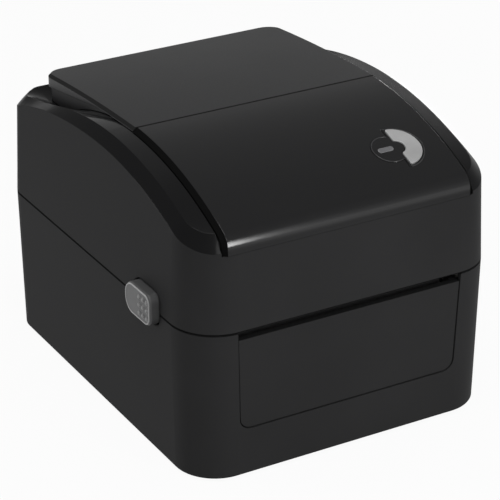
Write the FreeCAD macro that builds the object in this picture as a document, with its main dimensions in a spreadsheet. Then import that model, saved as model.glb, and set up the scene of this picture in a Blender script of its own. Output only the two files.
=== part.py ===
import FreeCAD, Part
import Sketcher
import math
import os

# A desktop thermal label printer: a base with a roll bay under a hinged clamshell cover.
# +Z is up and the front faces -Y. The origin is on the floor, under the middle of the casing.
# Lengths are millimetres.

SIZES = {
    # overall form
    "width": 178.0,
    "depth": 213.0,
    "foot_height": 1.5,
    "base_height": 81.7,
    "base_draft": 1.7,
    "cover_draft": 2.9,
    "cover_height": 74.2,
    "front_radius": 24.5,
    "rear_radius": 15.0,
    "wall": 2.5,
    "roof": 4.4,
    "seam_gap": 0.4,
    "bottom_round": 1.5,
    "seat_gap": 0.3,
    "run_gap": 0.05,
    "flush_gap": 0.1,
    "press_gap": 0.02,
    # arch of the cover: a crest line near each side wall, a lower deck between them, a bevelled rim
    "rim_bevel": 5.2,
    "crest_inset": 7.0,
    "crest_rise": 71.1,
    "crest_apex": -3.0,
    "crest_front_arc": 213.0,
    "crest_rear_arc": 244.0,
    "crest_end_arc": 400.0,
    "arch_turn": 58.0,
    "deck_step": 2.4,
    "deck_rear_arc": 165.0,
    "valley_arc": 52.0,
    # glossy panel over the front half of the arch
    "panel_half": 71.6,
    "panel_side_gap": 0.5,
    "panel_bevel": 2.2,
    "panel_rise": 74.2,
    "panel_apex": -10.0,
    "panel_arc": 200.0,
    "panel_thickness": 3.5,
    "panel_edge_arc": 9.0,
    "panel_lip": 3.2,
    "panel_seam": -12.6,
    "panel_seam_gap": 0.5,
    "panel_seat_gap": 0.2,
    # plate over the rear half, whose skirt grows towards the rear
    "plate_rear_inset": 12.5,
    "plate_arc": 1100.0,
    "plate_apex": -27.0,
    "plate_step": 25.0,
    "plate_front_edge": 2.0,
    "plate_step_edge": 1.9,
    "plate_rear_edge": 7.9,
    "plate_corner": 10.0,
    "plate_bevel": 1.5,
    "plate_skin": 2.6,
    "plinth_inset": 1.5,
    "plinth_gap": 0.2,
    "plinth_front_gap": 2.0,
    "plinth_low": 30.0,
    # label exit and the panel below it
    "exit_half": 64.4,
    "exit_height": 4.4,
    "front_panel_low": 26.7,
    "front_panel_taper": 1.7,
    "front_panel_corner": 6.0,
    "front_panel_thickness": 2.2,
    "front_panel_recess": 0.4,
    "front_panel_flange": 3.0,
    "flange_thickness": 1.5,
    "shut_gap": 0.5,
    # side release buttons
    "button_inset": 50.0,
    "button_rise": 1.8,
    "button_length": 26.5,
    "button_height": 17.5,
    "button_corner": 8.0,
    "button_front_corner": 5.0,
    "button_proud": 5.0,
    "button_gap": 0.6,
    "button_travel": 3.0,
    "button_flange": 1.5,
    "button_seat": 0.9,
    "button_lap": 0.9,
    "button_lip": 0.8,
    "notch_gap": 0.5,
    "button_edge": 1.6,
    "dimple_radius": 0.9,
    "dimple_pitch": 4.4,
    "dimple_column_pitch": 4.0,
    "dimple_offset": 6.5,
    "dimple_rise": 0.5,
    "latch_half_width": 4.0,
    "latch_thickness": 3.0,
    "latch_height": 18.5,
    "latch_nose": 1.5,
    "latch_side_gap": 0.5,
    "stem_rise": 4.0,
    "catch_depth": 4.4,
    "catch_thickness": 2.4,
    "catch_side": 2.0,
    "spring_post_inset": 22.4,
    "spring_post_thickness": 3.0,
    "spring_post_half": 5.0,
    "spring_gap": 0.5,
    "button_spring_turns": 4,
    # cover hinge
    "hinge_inset": 8.5,
    "hinge_rise": 9.3,
    "hinge_pin_radius": 2.0,
    "hinge_ear_radius": 5.0,
    "hinge_ear_inset": 23.0,
    "hinge_ear_width": 4.0,
    "knuckle_width": 6.0,
    "hinge_side_gap": 0.4,
    "hinge_web_depth": 9.0,
    "hinge_foot_depth": 12.0,
    "hinge_foot_height": 2.5,
    "hinge_rear_gap": 0.5,
    "pin_inset": 0.5,
    # inner tray and roll bay
    "deck_drop": 5.5,
    "deck_thickness": 2.5,
    "tray_gap": 0.5,
    "well_room": 10.0,
    "well_depth": 30.0,
    "front_room": 4.8,
    "roll_rise": 5.0,
    "bay_front_room": 66.5,
    "bay_rear_room": 22.5,
    "bay_half": 62.0,
    "rack_rise": 13.7,
    "rack_clear": 2.2,
    "post_radius": 4.0,
    "post_inset": 17.0,
    "post_front_y": -40.0,
    "post_rear_y": 64.0,
    "screw_radius": 1.5,
    "screw_head_radius": 2.9,
    "screw_head_height": 1.8,
    "screw_gap": 0.2,
    "screw_reach": 12.0,
    "drive_radius": 1.2,
    "drive_depth": 1.0,
    "vent_count": 7,
    "vent_first": -24.0,
    "vent_pitch": 8.0,
    "vent_half": 36.0,
    "vent_width": 3.0,
    "vent_corner": 1.4,
    # feet
    "foot_radius": 6.5,
    "foot_side_inset": 19.0,
    "foot_end_inset": 20.5,
    "foot_recess": 1.0,
    "foot_taper": 0.8,
    # platen and its drive
    "platen_inset": 17.5,
    "platen_drop": 10.2,
    "platen_radius": 8.0,
    "platen_half": 59.0,
    "platen_core_radius": 5.5,
    "platen_shoulder": 0.8,
    "shaft_radius": 3.0,
    "bearing_radius": 6.0,
    "bearing_flange": 1.0,
    "bearing_lip": 1.2,
    "shaft_end": 1.5,
    "cheek_half": 62.3,
    "cheek_width": 4.0,
    "cheek_depth": 20.0,
    "cheek_front": 9.0,
    "cheek_rear": 12.0,
    "gear_module": 0.8,
    "gear_width": 4.6,
    "gear_gap": 0.12,
    "gear_side_gap": 0.4,
    "gear_hub": 2.2,
    "gear_room": 2.9,
    "gear_clear": 1.3,
    "platen_teeth": 26,
    "idler_teeth": 32,
    "pinion_teeth": 12,
    "idler_offset": 8.0,
    "pinion_offset": 13.0,
    "gear_plate_thickness": 1.2,
    "gear_plate_front": 8.0,
    "gear_plate_side": 22.0,
    "gear_plate_drop": 14.0,
    "gear_plate_edge": 1.0,
    "gear_plate_corner": 6.0,
    "gear_plate_top_corner": 3.0,
    "motor_radius": 17.5,
    "motor_length": 22.0,
    "motor_ear_pitch": 21.0,
    "motor_ear_radius": 4.4,
    "motor_ear_thickness": 1.2,
    "motor_round": 1.0,
    "motor_lip": 0.6,
    "motor_boss_radius": 5.0,
    "motor_boss_height": 1.2,
    "motor_shaft_depth": 11.5,
    "motor_shaft_radius": 1.25,
    "stud_radius": 2.0,
    "stud_head": 1.2,
    "stud_head_thickness": 1.0,
    "sensor_half": 8.7,
    "sensor_offset": 24.3,
    "sensor_depth": 8.4,
    "sensor_drop": 1.3,
    "sensor_rise": 0.6,
    "sensor_corner": 1.0,
    "sensor_window_half": 5.0,
    "sensor_window_inset": 2.2,
    # roll guides with their racks
    "guide_half": 56.0,
    "guide_thickness": 3.0,
    "guide_top": 15.0,
    "guide_low_half": 34.0,
    "guide_top_half": 18.0,
    "guide_corner": 14.0,
    "guide_window_half": 14.0,
    "guide_window_low": 46.0,
    "guide_window_high": 22.0,
    "guide_window_corner": 5.0,
    "guide_travel": 40.0,
    "leg_half": 1.8,
    "leg_gap": 0.6,
    "leg_out": 1.0,
    "leg_in": 7.0,
    "leg_lap": 5.0,
    "slot_gap": 1.0,
    "slot_rise": 6.0,
    "hub_radius": 12.0,
    "hub_length": 9.0,
    "hub_flange_radius": 16.5,
    "hub_flange": 2.0,
    "hub_bevel": 1.5,
    "axle_radius": 4.0,
    "rack_height": 3.8,
    "rack_width": 4.5,
    "rack_overrun": 10.0,
    "rack_gap": 0.4,
    "guide_teeth": 20,
    "carrier_thickness": 2.5,
    "carrier_post_radius": 2.5,
    "carrier_post_inset": 7.0,
    "carrier_post_spread": 17.5,
    "carrier_edge": 1.5,
    "carrier_corner": 4.0,
    # print head hanging in the cover
    "beam_side_gap": 11.0,
    "beam_corner": 6.0,
    "beam_corner_long": 9.0,
    "beam_screw_x": 65.0,
    "beam_screw_inset": 17.0,
    "beam_front_gap": 5.5,
    "beam_depth": 33.0,
    "beam_low": 3.0,
    "beam_high": 26.3,
    "head_half": 57.0,
    "head_gap": 0.5,
    "head_thickness": 1.8,
    "head_front": 8.0,
    "head_rear": 10.0,
    "head_bevel": 0.5,
    "sink_half": 60.2,
    "sink_height": 6.0,
    "sink_rear": 11.0,
    "sink_base": 2.2,
    "sink_fins": 5,
    "bracket_thickness": 1.5,
    "bracket_gap": 1.8,
    "bracket_front": 7.0,
    "bracket_rear": 12.0,
    "bracket_rise": 1.0,
    "spring_radius": 3.0,
    "spring_wire": 0.45,
    "head_spring_gap": 0.6,
    "head_spring_turns": 6,
    "spring_pitch_x": 40.0,
    "head_pin_x": 22.0,
    "head_pin_y": 2.0,
    "head_pin_radius": 2.0,
    "arm_low": 21.0,
    "arm_high": 33.0,
    "arm_bend": 26.0,
    "arm_bend_radius": 20.0,
    "arm_tail": 14.0,
    "arm_corner": 2.0,
    "ear_tip_y": 4.0,
    "ear_tip_z": 3.6,
    "boss_radius": 4.5,
    "boss_seat_depth": 4.0,
    "boss_rise": 2.0,
    "cover_screw_reach": 8.0,
    "boss_y": 40.0,
    "tear_bar_height": 9.6,
    "tear_bar_thickness": 1.2,
    "tear_tooth": 1.5,
    "tear_tooth_depth": 1.05,
    "tear_bar_side": 3.0,
    "tear_bar_gap": 0.2,
    # feed key and light in the glossy panel
    "key_x": 43.5,
    "key_inset": 30.2,
    "key_radius": 13.35,
    "key_inner_radius": 4.6,
    "key_cut": 0.7,
    "key_corner": 0.9,
    "key_edge": 0.4,
    "key_proud": 0.5,
    "key_thickness": 1.1,
    "key_rim": 0.8,
    "key_stem_radius": 2.0,
    "key_stem_x": 9.6,
    "key_stem_length": 7.0,
    "key_post_radius": 2.2,
    "key_post_x": 1.5,
    "key_post_spread": 7.5,
    "key_board_drop": 12.0,
    "key_board_length": 28.0,
    "key_board_width": 19.0,
    "key_switch_width": 6.0,
    "key_lamp_length": 5.0,
    "key_lamp_width": 3.0,
    "key_part_height": 1.5,
    "bezel_gap": 0.12,
    "bezel_thickness": 1.8,
    "bezel_proud": 0.15,
    "dish_x": -4.3,
    "dish_radius": 9.6,
    "well_gap": 0.6,
    "key_travel": 0.8,
    "key_gap": 0.35,
    "light_length": 8.8,
    "light_height": 3.2,
    "light_x": -6.4,
    "light_proud": 0.2,
    "light_depth": 7.5,
    # electronics and the rear sockets
    "board_thickness": 1.6,
    "board_rise": 4.0,
    "board_half": 58.0,
    "board_front": -38.0,
    "board_rear_gap": 2.4,
    "board_corner": 2.0,
    "board_hole_inset": 5.0,
    "board_hole_front": 8.0,
    "board_hole_rear": 10.4,
    "board_post_radius": 3.0,
    "socket_inset": 1.7,
    "socket_rise": 5.7,
    "socket_half_height": 5.5,
    "socket_corner": 0.5,
    "usb_half": 6.0,
    "usb_length": 16.0,
    "usb_mouth_depth": 12.0,
    "usb_mouth_half": 4.25,
    "usb_mouth_rise": 3.9,
    "usb_shoulder": 1.7,
    "usb_tongue_half": 2.8,
    "usb_tongue_rise": 1.6,
    "usb_tongue_inset": 2.0,
    "dc_half": 4.5,
    "dc_length": 14.0,
    "dc_mouth_depth": 10.0,
    "dc_mouth_radius": 3.2,
    "dc_pin_radius": 1.0,
    "dc_pin_inset": 0.5,
    "usb_x": 12.0,
    "dc_x": -14.0,
    "switch_x": -52.0,
    "switch_length": 20.0,
    "switch_height": 13.0,
    "switch_tilt": 8.0,
    "switch_rise": 18.0,
    "switch_corner": 0.8,
    "switch_skin": 1.2,
    "switch_depth": 14.0,
    "switch_floor": 1.5,
    "rocker_pivot_radius": 1.2,
    "rocker_pivot_depth": 3.4,
    "rocker_gap": 1.4,
    "rocker_side_gap": 0.6,
    "rocker_face": 5.4,
    "rocker_edge": 1.0,
    "rocker_root": 4.0,
    "rocker_pin_lap": 0.9,
}

doc = FreeCAD.newDocument("label_printer")
sheet = doc.addObject("Spreadsheet::Sheet", "sizes")
for row, (alias, number) in enumerate(SIZES.items(), start=1):
    sheet.set(f"A{row}", alias)
    sheet.set(f"B{row}", str(number))
    sheet.setAlias(f"B{row}", alias)
doc.recompute()

V = FreeCAD.Vector
AXES = {"x": V(1, 0, 0), "y": V(0, 1, 0), "z": V(0, 0, 1)}
PLANES = {"xy": ("XY_Plane", 1, "z"), "xz": ("XZ_Plane", -1, "y"), "yz": ("YZ_Plane", 1, "x")}
PLANE_TURNS = {
    "xy": FreeCAD.Rotation(),
    "xz": FreeCAD.Rotation(V(1, 0, 0), V(0, 0, 1), V(0, -1, 0), "XYZ"),
    "yz": FreeCAD.Rotation(V(0, 1, 0), V(0, 0, 1), V(1, 0, 0), "XYZ"),
}
SIDES = {"left": -1, "right": 1}
parts = {}


class Size:
    """A number together with the spreadsheet formula that gives it."""

    def __init__(self, value, formula):
        self.value = float(value)
        self.formula = formula

    def __add__(self, other):
        other = as_size(other)
        return Size(self.value + other.value, f"({self.formula} + {other.formula})")

    def __sub__(self, other):
        other = as_size(other)
        return Size(self.value - other.value, f"({self.formula} - {other.formula})")

    def __mul__(self, other):
        other = as_size(other)
        return Size(self.value * other.value, f"({self.formula} * {other.formula})")

    def __truediv__(self, other):
        other = as_size(other)
        return Size(self.value / other.value, f"({self.formula} / {other.formula})")

    def __radd__(self, other):
        return as_size(other) + self

    def __rsub__(self, other):
        return as_size(other) - self

    def __rmul__(self, other):
        return as_size(other) * self

    def __neg__(self):
        return Size(-self.value, f"(0 - {self.formula})")


def as_size(number):
    if isinstance(number, Size):
        return number
    return Size(number, f"({float(number)!r})")


def root(size):
    return Size(math.sqrt(size.value), f"sqrt({size.formula})")


def least(first, second):
    return Size(min(first.value, second.value), f"min({first.formula}; {second.formula})")


def cell(alias):
    return Size(sheet.get(alias), f"sizes.{alias}")


def bind(item, name, size):
    item.setExpression(name, as_size(size).formula)


def between(side, near, far):
    """Two distances from the middle plane on one side, in order along X."""
    return sorted((side * as_size(near), side * as_size(far)), key=lambda size: size.value)


def keep(label, item):
    item.Label = label
    parts[label] = item
    return item


# Sketches: closed outlines of straight runs whose corners may be rounded, and circles.

def add_outline(sketch, corners):
    count = len(corners)
    spots = [V(as_size(c[0]).value, as_size(c[1]).value, 0) for c in corners]
    arrive, leave, middle = [], [], []
    for i, corner in enumerate(corners):
        if len(corner) < 3:
            arrive.append(spots[i])
            leave.append(spots[i])
            middle.append(None)
            continue
        back = (spots[i - 1] - spots[i]).normalize()
        ahead = (spots[(i + 1) % count] - spots[i]).normalize()
        half = back.getAngle(ahead) / 2
        radius = as_size(corner[2]).value
        reach = radius / math.tan(half)
        arrive.append(spots[i] + back * reach)
        leave.append(spots[i] + ahead * reach)
        inward = (back + ahead).normalize()
        middle.append(spots[i] + inward * (radius / math.sin(half) - radius))
    lines = [
        sketch.addGeometry(Part.LineSegment(leave[i], arrive[(i + 1) % count]), False)
        for i in range(count)
    ]
    rules = []
    bound = []
    for i, corner in enumerate(corners):
        before, after = lines[i - 1], lines[i]
        if len(corner) < 3:
            rules.append(Sketcher.Constraint("Coincident", before, 2, after, 1))
            anchor, end = after, 1
        else:
            arc = sketch.addGeometry(Part.Arc(arrive[i], middle[i], leave[i]), False)
            first = 1 if sketch.getPoint(arc, 1).distanceToPoint(arrive[i]) < 1e-6 else 2
            rules.append(Sketcher.Constraint("Tangent", before, 2, arc, first))
            rules.append(Sketcher.Constraint("Tangent", arc, 3 - first, after, 1))
            bound.append((len(rules), as_size(corner[2])))
            rules.append(Sketcher.Constraint("Radius", arc, as_size(corner[2]).value))
            anchor = sketch.addGeometry(Part.Point(spots[i]), True)
            end = 1
            rules.append(Sketcher.Constraint("PointOnObject", anchor, 1, before))
            rules.append(Sketcher.Constraint("PointOnObject", anchor, 1, after))
        for axis, size in zip("XY", corner):
            bound.append((len(rules), as_size(size)))
            rules.append(Sketcher.Constraint(f"Distance{axis}", -1, 1, anchor, end, as_size(size).value))
    add_rules(sketch, rules, bound)


def add_circle(sketch, u, v, radius):
    u, v, radius = as_size(u), as_size(v), as_size(radius)
    ring = sketch.addGeometry(Part.Circle(V(u.value, v.value, 0), V(0, 0, 1), radius.value), False)
    rules = [
        Sketcher.Constraint("DistanceX", -1, 1, ring, 3, u.value),
        Sketcher.Constraint("DistanceY", -1, 1, ring, 3, v.value),
        Sketcher.Constraint("Radius", ring, radius.value),
    ]
    add_rules(sketch, rules, list(enumerate((u, v, radius))))


def add_rules(sketch, rules, bound):
    first = sketch.ConstraintCount
    sketch.addConstraint(rules)
    for index, size in bound:
        if "sizes." in size.formula:
            sketch.setExpression(f"Constraints[{first + index}]", size.formula)


def fill_sketch(sketch, outlines, circles):
    for corners in outlines:
        add_outline(sketch, corners)
    for circle in circles:
        add_circle(sketch, *circle)


# Bodies made of padded, pocketed and turned sketches.

def new_body(label):
    return keep(label, doc.addObject("PartDesign::Body", label))


def body_sketch(body, name, plane, at, outlines=(), circles=()):
    role, sign, _ = PLANES[plane]
    sketch = body.newObject("Sketcher::SketchObject", name)
    support = next(f for f in body.Origin.OriginFeatures if f.Role == role)
    sketch.AttachmentSupport = [(support, "")]
    sketch.MapMode = "FlatFace"
    bind(sketch, "AttachmentOffset.Base.z", as_size(at) * sign)
    fill_sketch(sketch, outlines, circles)
    return sketch


def pad(body, plane, start, end, outlines=(), circles=()):
    """Adds material from start to end along the plane's own axis."""
    name = f"{body.Name}_pad"
    sketch = body_sketch(body, f"{name}_sketch", plane, start, outlines, circles)
    feature = body.newObject("PartDesign::Pad", name)
    feature.Profile = sketch
    feature.Reversed = PLANES[plane][1] < 0
    bind(feature, "Length", as_size(end) - start)
    return feature


def pocket(body, plane, start, end, outlines=(), circles=()):
    """Removes material from start to end along the plane's own axis, and makes sure that it did."""
    doc.recompute()
    before = body.Shape.Volume
    name = f"{body.Name}_pocket"
    sketch = body_sketch(body, f"{name}_sketch", plane, start, outlines, circles)
    feature = body.newObject("PartDesign::Pocket", name)
    feature.Profile = sketch
    feature.Reversed = PLANES[plane][1] > 0
    bind(feature, "Length", as_size(end) - start)
    doc.recompute()
    if body.Shape.Volume >= before:
        raise RuntimeError(f"{name} removed nothing")
    return feature


def turned(label, corners):
    """A body of revolution about the X axis."""
    body = new_body(label)
    sketch = body_sketch(body, f"{label}_profile", "xy", 0, [corners])
    feature = body.newObject("PartDesign::Revolution", f"{label}_turn")
    feature.Profile = sketch
    feature.ReferenceAxis = (sketch, ["H_Axis"])
    feature.Angle = 360
    return body


def edge_round(body, radius, chosen, kind="PartDesign::Fillet"):
    """Rounds or bevels the edges of the body's last feature that the test chooses."""
    doc.recompute()
    base = body.Tip
    names = [f"Edge{i + 1}" for i, e in enumerate(base.Shape.Edges) if chosen(e)]
    feature = body.newObject(kind, f"{body.Name}_edges")
    feature.Base = (base, names)
    bind(feature, "Radius" if kind.endswith("Fillet") else "Size", radius)
    return feature


def move(item, x=0, y=0, z=0):
    for axis, size in zip("xyz", (x, y, z)):
        bind(item, f"Placement.Base.{axis}", size)
    return item


# Part primitives, prisms and booleans.

def block(name, x, y, z):
    item = doc.addObject("Part::Box", name)
    for prop, (low, high) in zip(("Length", "Width", "Height"), (x, y, z)):
        bind(item, prop, as_size(high) - low)
    return move(item, x[0], y[0], z[0])


def rod(name, axis, start, end, centre, radius):
    """A round bar along an axis; centre holds the two other coordinates in order."""
    item = doc.addObject("Part::Cylinder", name)
    item.Placement = FreeCAD.Placement(V(), FreeCAD.Rotation(V(0, 0, 1), AXES[axis]))
    bind(item, "Radius", radius)
    bind(item, "Height", as_size(end) - start)
    place = list(centre)
    place.insert("xyz".index(axis), start)
    return move(item, *place)


def prism(name, plane, start, end, outlines=(), circles=()):
    sketch = doc.addObject("Sketcher::SketchObject", f"{name}_sketch")
    axis = PLANES[plane][2]
    sketch.Placement = FreeCAD.Placement(V(), PLANE_TURNS[plane])
    bind(sketch, f"Placement.Base.{axis}", start)
    fill_sketch(sketch, outlines, circles)
    item = doc.addObject("Part::Extrusion", name)
    item.Base = sketch
    item.DirMode = "Custom"
    item.Dir = AXES[axis]
    item.Solid = True
    bind(item, "LengthFwd", as_size(end) - start)
    return item


def fuse(name, *items):
    item = doc.addObject("Part::MultiFuse", name)
    item.Shapes = list(items)
    item.Refine = True
    return item


def cut(name, base, *tools):
    item = doc.addObject("Part::Cut", name)
    item.Base = base
    item.Tool = tools[0] if len(tools) == 1 else fuse(f"{name}_tools", *tools)
    item.Refine = True
    return item


def common(name, first, second):
    item = doc.addObject("Part::Common", name)
    item.Base = first
    item.Tool = second
    return item


def group(label, items):
    item = doc.addObject("Part::Compound", label)
    item.Links = list(items)
    return keep(label, item)


def formed(name, shape):
    item = doc.addObject("Part::Feature", name)
    item.Shape = shape
    return item


def rectangle(u, v, radius=None):
    corners = [(u[0], v[0]), (u[1], v[0]), (u[1], v[1]), (u[0], v[1])]
    return corners if radius is None else [corner + (radius,) for corner in corners]


# Driving sizes and the levels worked out from them.

width, depth = cell("width"), cell("depth")
half_width, half_depth = width / 2, depth / 2
wall, roof = cell("wall"), cell("roof")
foot_height = cell("foot_height")
seat_gap, run_gap, seam_gap = cell("seat_gap"), cell("run_gap"), cell("seam_gap")
flush_gap = cell("flush_gap")
seam = foot_height + cell("base_height")
floor_top = foot_height + wall
deck_top = seam - cell("deck_drop")
deck_low = deck_top - cell("deck_thickness")
hinge_y, hinge_z = half_depth - cell("hinge_inset"), seam + cell("hinge_rise")
hinge_ear_x = half_width - cell("hinge_ear_inset")
platen_y, platen_z = -half_depth + cell("platen_inset"), seam - cell("platen_drop")
button_y, button_z = -half_depth + cell("button_inset"), seam + cell("button_rise")
beam_half, beam_front = half_width - cell("beam_side_gap"), -half_depth + cell("beam_front_gap")
beam_rear = beam_front + cell("beam_depth")
spring_post_x = half_width - cell("spring_post_inset")
foot_x, foot_y = half_width - cell("foot_side_inset"), half_depth - cell("foot_end_inset")
panel_half = cell("panel_half")
deck_half = panel_half + cell("panel_side_gap")
plate_rear = half_depth - cell("plate_rear_inset")

# The roll lies midway between the rooms kept before and behind it, as large as these and the racks allow.
rack_low = floor_top + cell("rack_rise")
roll_y, roll_z = (cell("bay_front_room") - cell("bay_rear_room")) / 2, seam + cell("roll_rise")
bay_radius = least(half_depth - (cell("bay_front_room") + cell("bay_rear_room")) / 2,
                   roll_z - rack_low - cell("rack_height") - cell("rack_clear") - wall)

# How far tools run past a face, past the casing and into a wall, and how deep joined solids sink together.
over, beyond, through, rooted = 1.0, 4.0, 14.0, 0.5
above = seam + cell("cover_height") + 2 * through


def casing_outline(inset):
    """The plan of the casing, drawn in by inset on every side."""
    side, end = half_width - inset, half_depth - inset
    front, rear = cell("front_radius") - inset, cell("rear_radius") - inset
    return [(-side, -end, front), (side, -end, front), (side, end, rear), (-side, end, rear)]


def form(name, low, high, inset_low, inset_high):
    """A solid between two plans of the casing, straight from one to the other."""
    plans = []
    for z, inset in ((low, inset_low), (high, inset_high)):
        sketch = doc.addObject("Sketcher::SketchObject", f"{name}_plan")
        bind(sketch, "Placement.Base.z", z)
        add_outline(sketch, casing_outline(inset))
        plans.append(sketch)
    item = doc.addObject("Part::Loft", name)
    item.Sections = plans
    item.Solid = True
    item.Ruled = True
    return item


def base_form(name, inset, low=foot_height, high=seam):
    lean = cell("base_draft") / cell("base_height")
    return form(name, low, high, inset + lean * (seam - low), inset + lean * (seam - high))


def cover_form(name, inset, low, high):
    lean = cell("cover_draft") / cell("cover_height")
    return form(name, low, high, inset + lean * (low - seam), inset + lean * (high - seam))


def button_outline(margin):
    half = cell("button_length") / 2 + margin
    rise = cell("button_height") / 2 + margin
    low, high = button_z - rise, button_z + rise
    front, rear = cell("button_front_corner") + margin, cell("button_corner") + margin
    return [(button_y - half, low, front), (button_y + half, low, rear),
            (button_y + half, high, rear), (button_y - half, high, front)]


# Base casing and the panel below the label exit.

def front_panel_outline(margin, top):
    upper = cell("exit_half") + margin
    lower = upper - cell("front_panel_taper")
    low = foot_height + cell("front_panel_low") - margin
    corner = cell("front_panel_corner") + margin
    return [(-lower, low, corner), (lower, low, corner), (upper, top), (-upper, top)]


def make_base_casing():
    outer = base_form("base_outer", as_size(0))
    rounded = doc.addObject("Part::Fillet", "base_rounded")
    doc.recompute()
    rounded.Base = outer
    low = cell("foot_height").value
    size = cell("bottom_round").value
    rounded.Edges = [
        (i + 1, size, size)
        for i, edge in enumerate(outer.Shape.Edges)
        if edge.BoundBox.ZMax < low + 0.01
    ]
    cavity = base_form("base_cavity", wall, floor_top, seam + over)
    opening = prism("base_front_opening", "xz", -half_depth - beyond, -half_depth + through,
                    [front_panel_outline(cell("shut_gap"), seam + over)])
    tools = [cavity, opening] + button_openings("base_button")
    tools += [prism(f"base_{name}_hole", "xz", half_depth - through, half_depth + beyond, [outline])
              for name, outline in rear_holes().items()]
    for x, y in corner_spots(foot_x, foot_y):
        tools.append(rod("base_foot_recess", "z", 0, foot_height + cell("foot_recess"),
                         (x, y), cell("foot_radius") + seat_gap))
    for x, y in screw_spots():
        tools.append(rod("base_screw_hole", "z", 0, floor_top + over, (x, y),
                         cell("screw_radius") + cell("screw_gap")))
        tools.append(rod("base_screw_recess", "z", 0, foot_height + cell("screw_head_height"),
                         (x, y), cell("screw_head_radius") + seat_gap))
    tools += vent_slots()
    bosses = [rod("base_board_post", "z", floor_top - rooted, floor_top + cell("board_rise"), spot,
                  cell("board_post_radius")) for spot in board_spots()]
    shell = cut("base_shell", rounded, *tools)
    keep("base_casing", fuse("base_casing", shell, *bosses))


def vent_slots():
    """Rows of cooling slots through the floor."""
    half, wide = cell("vent_half"), cell("vent_width")
    slots = []
    for row in range(int(cell("vent_count").value)):
        y = cell("vent_first") + cell("vent_pitch") * row
        slots.append(prism("base_vent", "xy", 0, floor_top + over,
                           [rectangle((-half, half), (y, y + wide), cell("vent_corner"))]))
    return slots


def corner_spots(x, y):
    return [(sx * x, sy * y) for sx in (-1, 1) for sy in (-1, 1)]


def screw_spots():
    x = half_width - cell("post_inset")
    return [(s * x, y) for s in (-1, 1) for y in (cell("post_front_y"), cell("post_rear_y"))]


def board_rear():
    return half_depth - cell("socket_inset") - cell("board_rear_gap")


def board_spots():
    x = cell("board_half") - cell("board_hole_inset")
    ends = (cell("board_front") + cell("board_hole_front"), board_rear() - cell("board_hole_rear"))
    return [(s * x, y) for s in (-1, 1) for y in ends]


def socket_middle():
    return floor_top + cell("board_rise") + cell("board_thickness") + cell("socket_rise")


def rear_holes():
    """The outlines of the openings in the rear wall, each a little larger than what sits in it."""
    holes = {}
    mid, rise = socket_middle(), cell("socket_half_height") + seat_gap
    for name in ("usb", "dc"):
        x, half = cell(f"{name}_x"), cell(f"{name}_half") + seat_gap
        holes[name] = rectangle((x - half, x + half), (mid - rise, mid + rise),
                                cell("socket_corner") + seat_gap)
    x, z = cell("switch_x"), switch_middle()
    long, tall = cell("switch_length") / 2, cell("switch_height") / 2
    holes["switch"] = rectangle((x - long, x + long), (z - tall, z + tall), cell("switch_corner"))
    return holes


def switch_middle():
    return floor_top + cell("switch_rise")


def make_front_panel():
    recess, thick = cell("front_panel_recess"), cell("front_panel_thickness")
    top = seam - cell("exit_height")
    front, behind = -half_depth - beyond, -half_depth + through
    face = cut("front_panel_layer", base_form("front_panel_out", recess),
               base_form("front_panel_in", recess + thick))
    window = prism("front_panel_window", "xz", front, behind, [front_panel_outline(as_size(0), top)])
    plate = common("front_panel_face", face, window)
    inner = wall + flush_gap
    layer = cut("front_flange_layer", base_form("front_flange_out", inner),
                base_form("front_flange_in", inner + cell("flange_thickness")))
    frame = prism("front_flange_window", "xz", front, behind,
                  [front_panel_outline(cell("front_panel_flange"), top)])
    flange = common("front_panel_flange", layer, frame)
    keep("front_panel", fuse("front_panel", plate, flange))


def make_feet_and_screws():
    feet = []
    for x, y in corner_spots(foot_x, foot_y):
        foot = doc.addObject("Part::Cone", "foot")
        bind(foot, "Radius1", cell("foot_radius") - cell("foot_taper"))
        bind(foot, "Radius2", cell("foot_radius"))
        bind(foot, "Height", foot_height + cell("foot_recess"))
        feet.append(move(foot, x, y, 0))
    group("rubber_feet", feet)
    screws = []
    low, deep = foot_height + cell("screw_gap"), cell("drive_depth")
    for spot in screw_spots():
        head = rod("case_screw_head", "z", low, foot_height + cell("screw_head_height"), spot,
                   cell("screw_head_radius"))
        shank = rod("case_screw_shank", "z", low, floor_top + cell("screw_reach"), spot, cell("screw_radius"))
        drive = rod("case_screw_drive", "z", low - over, low + deep, spot, cell("drive_radius"))
        screws.append(cut("case_screw", fuse("case_screw_body", head, shank), drive))
    group("case_screws", screws)


# Inner tray: a deck with the round roll bay, the platen cheeks and the guide slots.

def bay_prism(name, half, radius, low_cut):
    """The roll bay's round trough as a solid between its two ends, open above the deck."""
    trough = rod(f"{name}_round", "x", -half, half, (roll_y, roll_z), radius)
    top = block(f"{name}_top", (-half, half), (roll_y - radius, roll_y + radius),
                (low_cut, roll_z + radius))
    return trough, top


def guide_leg_y(side):
    return roll_y + side * (rack_pitch() + cell("gear_module") * tooth_root + cell("rack_width") / 2)


def rack_pitch():
    return cell("gear_module") * cell("guide_teeth") / 2


def gear_tip(teeth):
    return cell("gear_module") * (cell(teeth) / 2 + tooth_top)


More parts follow.
